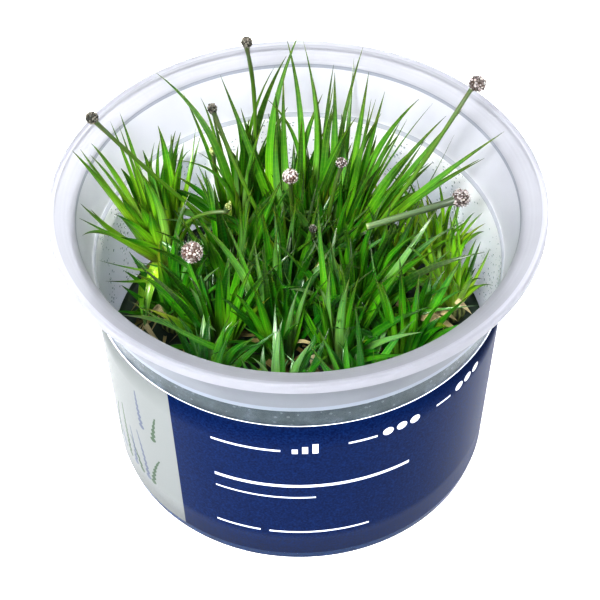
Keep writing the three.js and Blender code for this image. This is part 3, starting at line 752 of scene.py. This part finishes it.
# A blade is a keeled channel swept along its middle line, thickest over the keel
sweeping, sweep = growing_tree("Keeled blade along its path", {
    "Corners": "Int", "Channel Depth": "Float", "Keel Depth": "Float", "Blade Material": "Material"})
paths = put(sweeping, "GeometryNodeSetCurveNormal", {
    0: put(sweeping, "GeometryNodeMeshToCurve", {0: sweep["Geometry"]}),
    "Normal": stored(sweeping, "side", "FLOAT_VECTOR")}, mode="FREE")
ring = put(sweeping, "GeometryNodeCurvePrimitiveCircle", {"Resolution": sweep["Corners"], "Radius": 1.0})
spot = put(sweeping, "ShaderNodeSeparateXYZ", {0: put(sweeping, "GeometryNodeInputPosition")})
inward = 1.0 - abs(spot["X"]) ** 1.5
sink = put(sweeping, "ShaderNodeMix", {0: spot["Y"] > 0.0, 2: sweep["Keel Depth"], 3: sweep["Channel Depth"]})
section = put(sweeping, "GeometryNodeSetPosition", {
    "Geometry": store(ring, "across", spot["X"]),
    "Position": put(sweeping, "ShaderNodeCombineXYZ", {"X": spot["X"], "Y": inward * (sink * -1.0)})})
swept = put(sweeping, "GeometryNodeCurveToMesh", {
    "Curve": store(paths, "along", put(sweeping, "GeometryNodeSplineParameter")["Factor"]),
    "Profile Curve": section, "Scale": stored(sweeping, "half_width"), "Fill Caps": True})
close_tree(swept, sweep["Blade Material"])

BLADE_STATIONS = 15
width_at = [(0, 0.95), (0.1, 1.0), (0.3, 0.97), (0.5, 0.8), (0.7, 0.55), (0.86, 0.28), (1.0, 0.02)]


def blade_piece(name, blades, material, corners=10):
    """Sweep every blade: foot, then tip, bow, curl and width, then tone."""
    chance = random.Random(len(blades) * 7 + 1)
    lines, half_widths, sides, tones, ages = [], [], [], [], []
    for foot, (*tip, bow, curl, width), tone in blades:
        points, across = middle_line(foot, tip, bow, curl, BLADE_STATIONS)
        twist = chance.uniform(-0.5, 0.5)
        age = chance.random()
        # Blades are turned part of the way to the camera, since the photo shows their broad sides
        towards = np.array(camera_place / MM) - points[BLADE_STATIONS // 2]
        facing = np.cross(points[-1] - points[0], towards)
        facing = facing / np.linalg.norm(facing) * (1 if facing @ across >= 0 else -1)
        open_share = chance.uniform(0.35, 0.9)
        across = across * (1 - open_share) + facing * open_share
        across = Vector(across / np.linalg.norm(across))
        lines.append([Vector(p) * MM for p in points])
        for i in range(BLADE_STATIONS):
            t = i / (BLADE_STATIONS - 1)
            half_widths.append(width / 2 * MM * float(np.interp(t, *zip(*width_at))))
            ahead = min(i + 1, BLADE_STATIONS - 1)
            turn = Matrix.Rotation(twist * t, 3, Vector(points[ahead] - points[ahead - 1]))
            sides.append(tuple(turn @ across))
        tones += [tone] * BLADE_STATIONS
        ages += [age] * BLADE_STATIONS
    source = line_mesh(name, lines, half_width=half_widths, side=sides, tone=tones, age=ages)
    return made_by(sweeping, source, name, {
        "Corners": corners, "Channel Depth": 0.45, "Keel Depth": 0.75, "Blade Material": material})


def attribute(tree, name):
    return put(tree, "ShaderNodeAttribute", attribute_name=name, attribute_type="GEOMETRY")["Fac"]


# Tissue of leaves, green and withered: fine parallel veins with the little cross walls between them
tissue, tissue_out = value_group("Veined tissue", ("Across", "Along", "Veins", "Cells"), "Vein", "Cell")
feed(tissue_out["Vein"], (tissue["Across"] * tissue["Veins"]).maths("SINE") * 0.5 + 0.5)
feed(tissue_out["Cell"], ((tissue["Along"] * tissue["Cells"]).maths("SINE") * 0.5 + 0.5) ** 4.0)


def tissue_of(tree, veins, cells):
    return put(tree, "ShaderNodeGroup", {
        "Across": attribute(tree, "across"), "Along": attribute(tree, "along"),
        "Veins": veins, "Cells": cells}, node_tree=tissue.tree)


def leaf_finish(name, base, young, grown, tip, dark, painted_low_shade, places):
    """Leaf colours from the pale base to the dry tip, with a darker old shade to mix in."""
    material, tree = finish_of(name)
    tone, age = attribute(tree, "tone"), attribute(tree, "age")
    height = put(tree, "ShaderNodeSeparateXYZ", {0: place_in(tree)})["Z"]
    mottle = noise(tree, 260.0, 3.0)
    veins = tissue_of(tree, 13.0, 210.0)
    along = attribute(tree, "along") + (mottle - 0.5) * 0.12
    green = ramp(along, *zip(places, (base, young, grown, tip, dark)), (1.0, (24, 34, 20)))
    old = ramp(along, (0.0, grown), (0.18, tip), (0.45, dark), (1.0, (8, 26, 10)))
    depth = ((age - (tone * 0.9 + 0.14)) * 2.0).clamped()
    fresh = depth * -0.75 + 1.0
    colour = blend(depth, green, old)
    midrib = (1.0 - abs(attribute(tree, "across")) * 3.6).clamped()
    colour = blend(midrib * 0.4 * fresh, colour, young)
    colour = blend(veins["Vein"] * 0.25, colour, dark)
    colour = blend(veins["Cell"] * 0.05, colour, base)
    # Down in the crowd some blades are yellowed and some get a painted grey sheen, and low down all get a painted
    # green shade
    in_crowd = fade(height, 0.048, 0.06, 1.0, 0.0)
    yellowing = (age < 0.04) * fade(along, 0.3, 0.8, 0.0, 0.6)
    colour = blend(yellowing * in_crowd, colour, (190, 190, 60))
    colour = blend(fade(height, 0.034, 0.052, painted_low_shade, 0.0), colour, (14, 128, 8))
    colour = blend(age.maths("COMPARE", 0.3, 0.065) * (in_crowd * 0.4), colour, (160, 190, 146))
    # The tall ones get a painted pale sheen, standing for the white wall they reflect, which ends before the dark
    # tip
    painted_high_sheen = fade(height, 0.048, 0.068, 0.0, 0.42) * fade(along, 0.72, 0.9, 1.0, 0.15)
    colour = blend(painted_high_sheen, colour, (112, 138, 88))
    colour = blend((mottle - 0.45) * 0.5 * fresh, colour, young)
    dress(tree, {"Base Color": colour, "Roughness": mottle * 0.24 + 0.2, "Coat Weight": 1.0,
                 "Coat Roughness": 0.24, "Subsurface Weight": 0.3, "Subsurface Radius": (0.5, 1.0, 0.1),
                 "Subsurface Scale": 0.0012}, veins["Cell"] * 0.2 + veins["Vein"], 0.4, 0.0001)
    return material


leaf = leaf_finish("green_leaf", (214, 230, 116), (176, 226, 54), (104, 190, 30), (34, 130, 20), (0, 50, 6),
                   0.7, (0.0, 0.24, 0.5, 0.72, 0.88))
# A paler copy of the leaf finish for four rosettes: partly their own paler colour, partly painted light
leaf_pale_and_lit = leaf_finish("pale_and_lit_leaf", (222, 242, 120), (190, 238, 62), (146, 214, 48), (56, 144, 30),
                         (6, 64, 14), 0.0, (0.0, 0.36, 0.62, 0.8, 0.92))
for name, rosette in rosettes.items():
    light = name in pale_and_lit_ones
    piece = blade_piece(name + "_leaves", all_blades(name, rosette), leaf_pale_and_lit if light else leaf)
    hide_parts(name)
    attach(piece, "root")

# Crowns: the short swollen stems that the blades and stalks grow from, half sunk in old sheaths
CROWN_FOOT, CROWN_RADIUS = 27.3, 3.1
standing, stand = growing_tree("Crown on its place", {"Crown Material": "Material"})
position = put(standing, "GeometryNodeInputPosition")
swelling = put(standing, "ShaderNodeTexNoise", {"Vector": position, "Scale": 3.0})["Fac"] * 0.3 + 0.82
lumpy = put(standing, "GeometryNodeSetPosition", {
    "Geometry": put(standing, "GeometryNodeMeshIcoSphere", {"Radius": 1.0, "Subdivisions": 3}),
    "Position": put(standing, "ShaderNodeVectorMath", {0: position, "Scale": swelling}, operation="SCALE")})
crowned = put(standing, "GeometryNodeInstanceOnPoints", {
    "Points": stand["Geometry"], "Instance": lumpy, "Scale": stored(standing, "size", "FLOAT_VECTOR")})
close_tree(crowned, stand["Crown Material"])
crown_places, crown_sizes = [], []
for rosette in rosettes.values():
    x, y, z = rosette["crown"]
    half_height = (z + 1.5 - CROWN_FOOT) / 2
    crown_places.append([Vector((x, y, CROWN_FOOT + half_height)) * MM])
    crown_sizes.append((CROWN_RADIUS * MM, CROWN_RADIUS * MM, half_height * MM))
sheath, tree = finish_of("old_sheath")
fibre = put(tree, "ShaderNodeTexWave", {
    "Vector": place_in(tree), "Scale": 260.0, "Distortion": 6.0, "Detail": 3.0})["Fac"]
dress(tree, {"Base Color": ramp(fibre, (0.0, (46, 52, 22)), (0.6, (96, 112, 48)), (1.0, (140, 144, 88))),
             "Roughness": fibre * 0.25 + 0.4}, fibre, 0.4, 0.0002)
crowns = made_by(standing, line_mesh("crowns", crown_places, size=crown_sizes), "plant_crowns", {
    "Crown Material": sheath})
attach(crowns, "root")

# ---------------------------------------------------------------------------------------------
# Old leaves: dead outer blades that have gone tan or straw coloured and lie over the gel. The
# larger ones are listed as start, end, bow, curl, width; the small litter comes by chance.
dead_blades = [
    ((-31.9, 2.2, 35), (-25.4, -4.1, 32), 1.5, 1.0, 2.2), ((-29.1, 0.2, 34), (-20.9, -6.7, 31.5), 1.0, -1.2, 1.6),
    ((-24.8, -4.0, 36), (-21.9, -8.5, 31), 0.6, 0.5, 1.8), ((-33.7, -3.0, 35), (-29.6, -6.2, 32), 0.8, -0.6, 1.4),
    ((-26.9, 0.7, 38), (-24.1, -3.4, 33), 0.5, 0.8, 1.5), ((15.8, -3.0, 42.5), (20.7, -3.4, 41), 0.6, 0.4, 1.5),
    ((19.2, -2.6, 40.5), (26.6, -5.0, 39), 0.8, -0.8, 2.3), ((24.2, -7.2, 40.5), (33.5, -8.8, 37), 1.2, 0.9, 2.5),
    ((17.7, -9.9, 36), (24.8, -8.6, 35.5), 1.0, 1.2, 1.6), ((27.3, -5.1, 40), (33.0, -7.2, 38.5), 0.8, 0.6, 1.7),
    ((14.0, -3.8, 36), (20.6, -4.3, 34.5), 0.7, -0.8, 1.4), ((31.8, -2.2, 40), (36.4, -4.6, 37.5), 0.6, 0.5, 1.5),
    ((-8.0, -12.0, 33), (-3.0, -15.5, 30), 0.5, 0.4, 1.4), ((2.0, -11.0, 34), (4.5, -16.5, 30), 0.6, -0.5, 1.5),
]
LITTER_EACH = 18
straw, tree = finish_of("withered_leaf")
spotting = noise(tree, 520.0, 5.0)
veins = tissue_of(tree, 23.0, 90.0)
colour = ramp(attribute(tree, "tone"), (0.0, (92, 72, 40)), (0.35, (128, 118, 58)), (0.7, (196, 180, 128)),
              (1.0, (222, 212, 176)))
colour = blend(veins["Vein"] * 0.4, colour, (106, 84, 48))
colour = blend(fade(spotting, 0.52, 0.7, 0.0, 0.7), colour, (70, 52, 30))
dress(tree, {"Base Color": colour, "Roughness": spotting * 0.3 + 0.4}, veins["Vein"], 0.5, 0.00012)

chance = random.Random(77)
dead = [(start, (*end, *rest), chance.uniform(0.45, 1.0)) for start, end, *rest in dead_blades]
for rosette in rosettes.values():
    x, y, z = rosette["crown"]
    for number in range(LITTER_EACH):
        heading = chance.uniform(0, 2 * math.pi)
        near_end, far_end = chance.uniform(2, 5), chance.uniform(7, 14)
        start = (x + near_end * math.cos(heading), y + near_end * math.sin(heading), chance.uniform(28.6, 36))
        end = (x + far_end * math.cos(heading + 0.3), y + far_end * math.sin(heading + 0.3),
               chance.uniform(27.6, 31))
        blade = (*end, chance.uniform(0.3, 4.0), chance.uniform(-2, 2), chance.uniform(0.35, 1.1))
        if inside_tub([end] * 5):
            dead.append((start, blade, chance.uniform(0.1, 0.95)))
litter = blade_piece("withered_leaves", dead, straw, corners=8)
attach(litter, "root")

# ---------------------------------------------------------------------------------------------
# Stalks: slender twisted scapes with five or six ribs, each carrying one head. One of them lies
# loose across the leaves on the right and ends in a pale cut face.
ribbing, rib = growing_tree("Ribbed stalk along its path", {
    "Corners": "Int", "Rib Depth": "Float", "Twist": "Float", "Stalk Material": "Material"})
along = put(ribbing, "GeometryNodeSplineParameter")["Factor"]
paths = store(put(ribbing, "GeometryNodeMeshToCurve", {0: rib["Geometry"]}), "along", along)
ring = put(ribbing, "GeometryNodeCurvePrimitiveCircle", {"Resolution": rib["Corners"], "Radius": 1.0})
is_rib = put(ribbing, "GeometryNodeInputIndex").maths("MODULO", 2.0)
pulled = put(ribbing, "ShaderNodeVectorMath", {
    0: put(ribbing, "GeometryNodeInputPosition"), "Scale": 1.0 - is_rib * rib["Rib Depth"]}, operation="SCALE")
swept = put(ribbing, "GeometryNodeCurveToMesh", {
    "Curve": put(ribbing, "GeometryNodeSetCurveTilt", {0: paths, "Tilt": along * rib["Twist"]}),
    "Profile Curve": put(ribbing, "GeometryNodeSetPosition", {
        "Geometry": store(ring, "across", is_rib), "Position": pulled}),
    "Scale": stored(ribbing, "half_width"), "Fill Caps": True})
close_tree(swept, rib["Stalk Material"])


def stalk_finish(name, groove_shade, *stops):
    """Stalk colours from its foot to the head, with painted shade in the grooves between the ribs."""
    material, tree = finish_of(name)
    blotch = noise(tree, 340.0, 3.0)
    colour = blend(attribute(tree, "across") * 0.4, ramp(attribute(tree, "along"), *stops), groove_shade)
    colour = blend(blotch * 0.25, colour, stops[1][1])
    dress(tree, {"Base Color": colour, "Roughness": blotch * 0.25 + 0.28, "Subsurface Weight": 0.3,
                 "Subsurface Scale": 0.001}, blotch, 0.2, 0.0001)
    return material


scape = stalk_finish("green_stalk", (62, 92, 34), (0.0, (150, 206, 52)), (0.45, (118, 168, 50)),
                     (0.82, (94, 120, 58)), (0.93, (106, 112, 92)))
loose_scape = stalk_finish("greyed_stalk", (54, 74, 46), (0.0, (186, 196, 150)), (0.035, (112, 136, 92)),
                           (0.6, (84, 106, 72)), (0.9, (88, 96, 82)))


def stalk_piece(name, lines, radius, material, twist):
    """Sweep the stalks, each drawn on into the head that it carries and swollen under it."""
    flare = {1: 1.9, 2: 1.7, 3: 1.35, 4: 1.12}
    points, widths = [], []
    for line in lines:
        head = min(heads.values(), key=lambda h: np.linalg.norm(np.array(h[:3]) - line[-1]))
        reach = np.array(head[:3], float) - line[-1]
        line = [*line[:-1], *(line[-1] + reach * t for t in (0.0, 0.3, 0.6, 0.9))]
        points.append([Vector(p) * MM for p in line])
        widths += [radius * MM * flare.get(len(line) - i, 1.0) for i in range(len(line))]
    piece = made_by(ribbing, line_mesh(name, points, half_width=widths), name, {
        "Corners": 12, "Rib Depth": 0.16, "Twist": twist, "Stalk Material": material})
    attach(piece, "root")
    return piece


stalk_lines = [listed_line(rosette, row, 30) for rosette in rosettes.values() for row in rosette["stalks"]]
stalk_piece("flower_stalks", stalk_lines, 0.46, scape, 7.0)
loose = stalk_piece("loose_stalk", [np.linspace(loose_start, loose_end, 14)], 0.74, loose_scape, 2.5)
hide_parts("loose_flower_stalk")

# ---------------------------------------------------------------------------------------------
# Flower heads: buttons of many tiny florets, each between a scale-like bract and a tuft of
# white hairs. Young heads are dark grey and closed; open ones are white with brown specks.
flowering, flower = growing_tree("Head of florets", {
    "Place": "Vector", "Half Size": "Vector", "Spacing": "Float", "Floret Size": "Vector",
    "Hair Spacing": "Float", "Hair Size": "Vector", "Seed": "Int", "Head Material": "Material"})


def by_chance(tree, low, high, seed):
    """A random number, or a random vector, for each copy."""
    if isinstance(low, tuple):
        return put(tree, "FunctionNodeRandomValue", {0: low, 1: high, "Seed": seed}, data_type="FLOAT_VECTOR")
    return put(tree, "FunctionNodeRandomValue", {2: low, 3: high, "Seed": seed}, data_type="FLOAT")[1]


def scaled(shape, size):
    return put(shape.tree, "GeometryNodeTransform", {"Geometry": shape, "Scale": size})


def seated_on(core, spacing, shape, tipping, sizes, tones, seed):
    """Copies of a shape seated all over the core, each tipped, sized and toned by chance."""
    seats = put(flowering, "GeometryNodeDistributePointsOnFaces", {
        "Mesh": core, "Distance Min": spacing, "Density Max": 9.0e7, "Seed": seed}, distribute_method="POISSON")
    tilt = by_chance(flowering, (-tipping, -tipping, -3.1), (tipping, tipping, 3.1), seed)
    leaning = put(flowering, "FunctionNodeRotateRotation", {
        0: seats["Rotation"], 1: put(flowering, "FunctionNodeEulerToRotation", {0: tilt})}, rotation_space="LOCAL")
    copies = put(flowering, "GeometryNodeInstanceOnPoints", {
        "Points": seats, "Instance": shape, "Rotation": leaning, "Scale": by_chance(flowering, *sizes, 3)})
    return store(copies, "tone", by_chance(flowering, *tones, 9), "INSTANCE")


core = scaled(put(flowering, "GeometryNodeMeshIcoSphere", {"Radius": 0.86, "Subdivisions": 4}), flower["Half Size"])
floret = scaled(put(flowering, "GeometryNodeMeshUVSphere", {"Segments": 7, "Rings": 5, "Radius": 1.0}),
                flower["Floret Size"])
hair = scaled(put(flowering, "GeometryNodeMeshCone", {
    "Vertices": 4, "Radius Top": 0.1, "Radius Bottom": 1.0, "Depth": 2.0}), flower["Hair Size"])
both = put(flowering, "GeometryNodeJoinGeometry")
feed(both.node.inputs[0], core)
feed(both.node.inputs[0], seated_on(core, flower["Spacing"], floret, 0.5, (0.6, 1.2), (0.02, 1.0), flower["Seed"]))
feed(both.node.inputs[0], seated_on(core, flower["Hair Spacing"], hair, 0.7, (0.6, 1.3), (1.5, 1.5), 31))
placed = put(flowering, "GeometryNodeTransform", {"Geometry": both, "Translation": flower["Place"]})
close_tree(placed, flower["Head Material"])


def head_finish(name, shade, light, speck, specks, hairs):
    """Tone 0 is the core, 0 to 1 the florets, and over 1 the hairs."""
    material, tree = finish_of(name)
    tone = attribute(tree, "tone")
    fuzz = noise(tree, 2600.0, 3.0)
    colour = ramp(tone, (0.0, speck), (0.015, shade), (0.5, light), (1.0, light))
    fleck = (tone * 7.3).maths("FRACT") < specks
    colour = blend(fleck * 0.85, colour, speck)
    colour = blend(fade(fuzz, 0.45, 0.7, 0.0, 0.55), colour, shade)
    dress(tree, {"Base Color": blend(tone > 1.2, colour, hairs), "Roughness": fuzz * 0.3 + 0.45,
                 "Subsurface Weight": 0.1, "Subsurface Scale": 0.0006}, fuzz, 0.5, 0.00012)
    return material


dark_head = head_finish("closed_head", (74, 74, 66), (136, 134, 124), (44, 42, 36), 0.2, (150, 148, 140))
pale_head = head_finish("open_head", (146, 136, 130), (206, 200, 198), (84, 60, 48), 0.28, (226, 222, 220))
grey_head = head_finish("half_open_head", (112, 104, 102), (196, 190, 190), (70, 58, 50), 0.28, (206, 200, 198))
bud = head_finish("green_bud", (140, 152, 72), (206, 212, 158), (120, 128, 70), 0.12, (214, 214, 180))
# Finish, floret spacing, floret size, hair spacing and hair size in millimetres
head_looks = {
    "flower_head_tall": (dark_head, 0.42, (0.30, 0.22, 0.20), 0.9, (0.03, 0.03, 0.2)),
    "flower_head_far_left": (dark_head, 0.46, (0.34, 0.24, 0.24), 0.8, (0.03, 0.03, 0.25)),
    "flower_head_back_left": (dark_head, 0.42, (0.30, 0.20, 0.20), 0.9, (0.03, 0.03, 0.2)),
    "flower_head_far_right": (grey_head, 0.55, (0.36, 0.30, 0.30), 0.6, (0.04, 0.04, 0.3)),
    "flower_head_middle": (pale_head, 0.5, (0.34, 0.26, 0.26), 0.6, (0.035, 0.035, 0.28)),
    "flower_head_right": (grey_head, 0.42, (0.28, 0.22, 0.20), 0.6, (0.03, 0.03, 0.25)),
    "flower_head_loose": (grey_head, 0.5, (0.32, 0.24, 0.32), 0.5, (0.04, 0.04, 0.36)),
    "flower_head_front_left": (pale_head, 0.56, (0.38, 0.28, 0.3), 0.55, (0.04, 0.04, 0.36)),
    "flower_bud_front": (dark_head, 0.36, (0.24, 0.18, 0.16), 0.8, (0.03, 0.03, 0.15)),
    "flower_bud_pale": (bud, 0.42, (0.30, 0.22, 0.16), 0.9, (0.03, 0.03, 0.15)),
    "flower_bud_green": (bud, 0.4, (0.28, 0.20, 0.14), 0.9, (0.03, 0.03, 0.15)),
}
for number, (name, (x, y, z, width, height)) in enumerate(heads.items()):
    material, spacing, floret_size, hair_spacing, hair_size = head_looks[name]
    piece = made_by(flowering, line_mesh(name + "_seat", [[Vector((x, y, z)) * MM]]), name + "_florets", {
        "Place": [x * MM, y * MM, z * MM], "Half Size": [width / 2 * MM, width / 2 * MM, height / 2 * MM],
        "Spacing": spacing * MM, "Floret Size": [c * MM for c in floret_size],
        "Hair Spacing": hair_spacing * MM, "Hair Size": [c * MM for c in hair_size],
        "Seed": number + 4, "Head Material": material})
    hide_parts(name)
    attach(piece, "root")

# ---------------------------------------------------------------------------------------------
# Dew: the closed tub sweats, so the inside of its wall carries fine drops above the gel. The
# drops sit on a band of the body's inner wall that faces inwards.
DEW_LOW, DEW_HIGH, DEW_INSET, DEW_COLUMNS = 29.5, 52.6, 0.12, 120
dewing, dew_in = growing_tree("Drops on the wall", {
    "Spacing": "Float", "Smallest": "Float", "Largest": "Float", "Seed": "Int", "Water": "Material"})
patches = put(dewing, "ShaderNodeTexNoise", {"Scale": 110.0, "Detail": 3.0})["Fac"]
spots = put(dewing, "GeometryNodeDistributePointsOnFaces", {
    "Mesh": dew_in["Geometry"], "Distance Min": dew_in["Spacing"], "Density Max": 3.0e6,
    "Seed": dew_in["Seed"], "Density Factor": fade(patches, 0.45, 0.62, 0.0, 1.0)}, distribute_method="POISSON")
drop = scaled(put(dewing, "GeometryNodeMeshIcoSphere", {"Radius": 1.0, "Subdivisions": 1}), (1.0, 1.0, 0.5))
drops = put(dewing, "GeometryNodeInstanceOnPoints", {
    "Points": spots, "Instance": drop, "Rotation": spots["Rotation"],
    "Scale": by_chance(dewing, dew_in["Smallest"], dew_in["Largest"], dew_in["Seed"])})
close_tree(drops, dew_in["Water"])

water, tree = finish_of("dew")
ripple = noise(tree, 600.0)
dress(tree, {"Base Color": clouded(ripple, (238, 244, 248), (252, 254, 255)), "Roughness": ripple * 0.06,
             "Transmission Weight": 1.0, "IOR": 1.33})

points, faces = [], []
for i in range(DEW_COLUMNS):
    angle, j = 2 * math.pi * i / DEW_COLUMNS, (i + 1) % DEW_COLUMNS
    for height in (DEW_LOW, DEW_HIGH):
        radius = 39.4 + (height - 2.4) / 50.8 * 2.3 - DEW_INSET
        points.append((radius * math.cos(angle) * MM, radius * math.sin(angle) * MM, height * MM))
    faces.append((2 * i, 2 * i + 1, 2 * j + 1, 2 * j))
wet_wall = bpy.data.meshes.new("wet_wall")
wet_wall.from_pydata(points, [], faces)
dew = made_by(dewing, wet_wall, "wall_dew", {
    "Spacing": 0.72 * MM, "Smallest": 0.06 * MM, "Largest": 0.3 * MM, "Seed": 5, "Water": water})
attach(dew, "root")

# ---------------------------------------------------------------------------------------------
# Floor and light: a white sweep under soft studio light, with a broad lamp above and behind, a
# small strong one on the left of the camera, and a weak one at the right.
white_floor, tree = finish_of("studio_floor")
grain = noise(tree, 30.0)
dress(tree, {"Base Color": ramp(grain, (0.0, (250, 250, 251)), (1.0, (253, 253, 254))),
             "Roughness": grain * 0.1 + 0.6,
             "Emission Color": ramp(grain, (0.0, (252, 252, 254)), (1.0, (255, 255, 255))),
             "Emission Strength": 0.6})
floor_mesh = bpy.data.meshes.new("floor")
floor_mesh.from_pydata([(-3, -3, -0.0002), (3, -3, -0.0002), (3, 3, -0.0002), (-3, 3, -0.0002)], [], [(0, 1, 2, 3)])
floor = bpy.data.objects.new("floor", floor_mesh)
floor.data.materials.append(white_floor)
scene.collection.objects.link(floor)

world = bpy.data.worlds.new("soft_room")
world.use_nodes = True
world.node_tree.nodes["Background"].inputs["Color"].default_value = (1.0, 1.0, 1.0, 1.0)
world.node_tree.nodes["Background"].inputs["Strength"].default_value = 0.32
scene.world = world


def soft_box(name, place, aim, width, power):
    lamp_data = bpy.data.lights.new(name, "AREA")
    lamp_data.shape = "SQUARE"
    lamp_data.size = width
    lamp_data.energy = power
    lamp = bpy.data.objects.new(name, lamp_data)
    direction = Vector(aim) - Vector(place)
    lamp.matrix_world = Matrix.Translation(place) @ direction.to_track_quat("-Z", "Y").to_matrix().to_4x4()
    scene.collection.objects.link(lamp)


soft_box("top_box", (0.02, 0.42, 0.75), (0, 0, 0.03), 0.45, 5.4)
soft_box("front_box", (-0.22, -0.5, 0.62), (0, 0, 0.04), 0.18, 8.2)
soft_box("right_box", (0.75, 0.1, 0.3), (0, 0, 0.04), 0.4, 0.8)
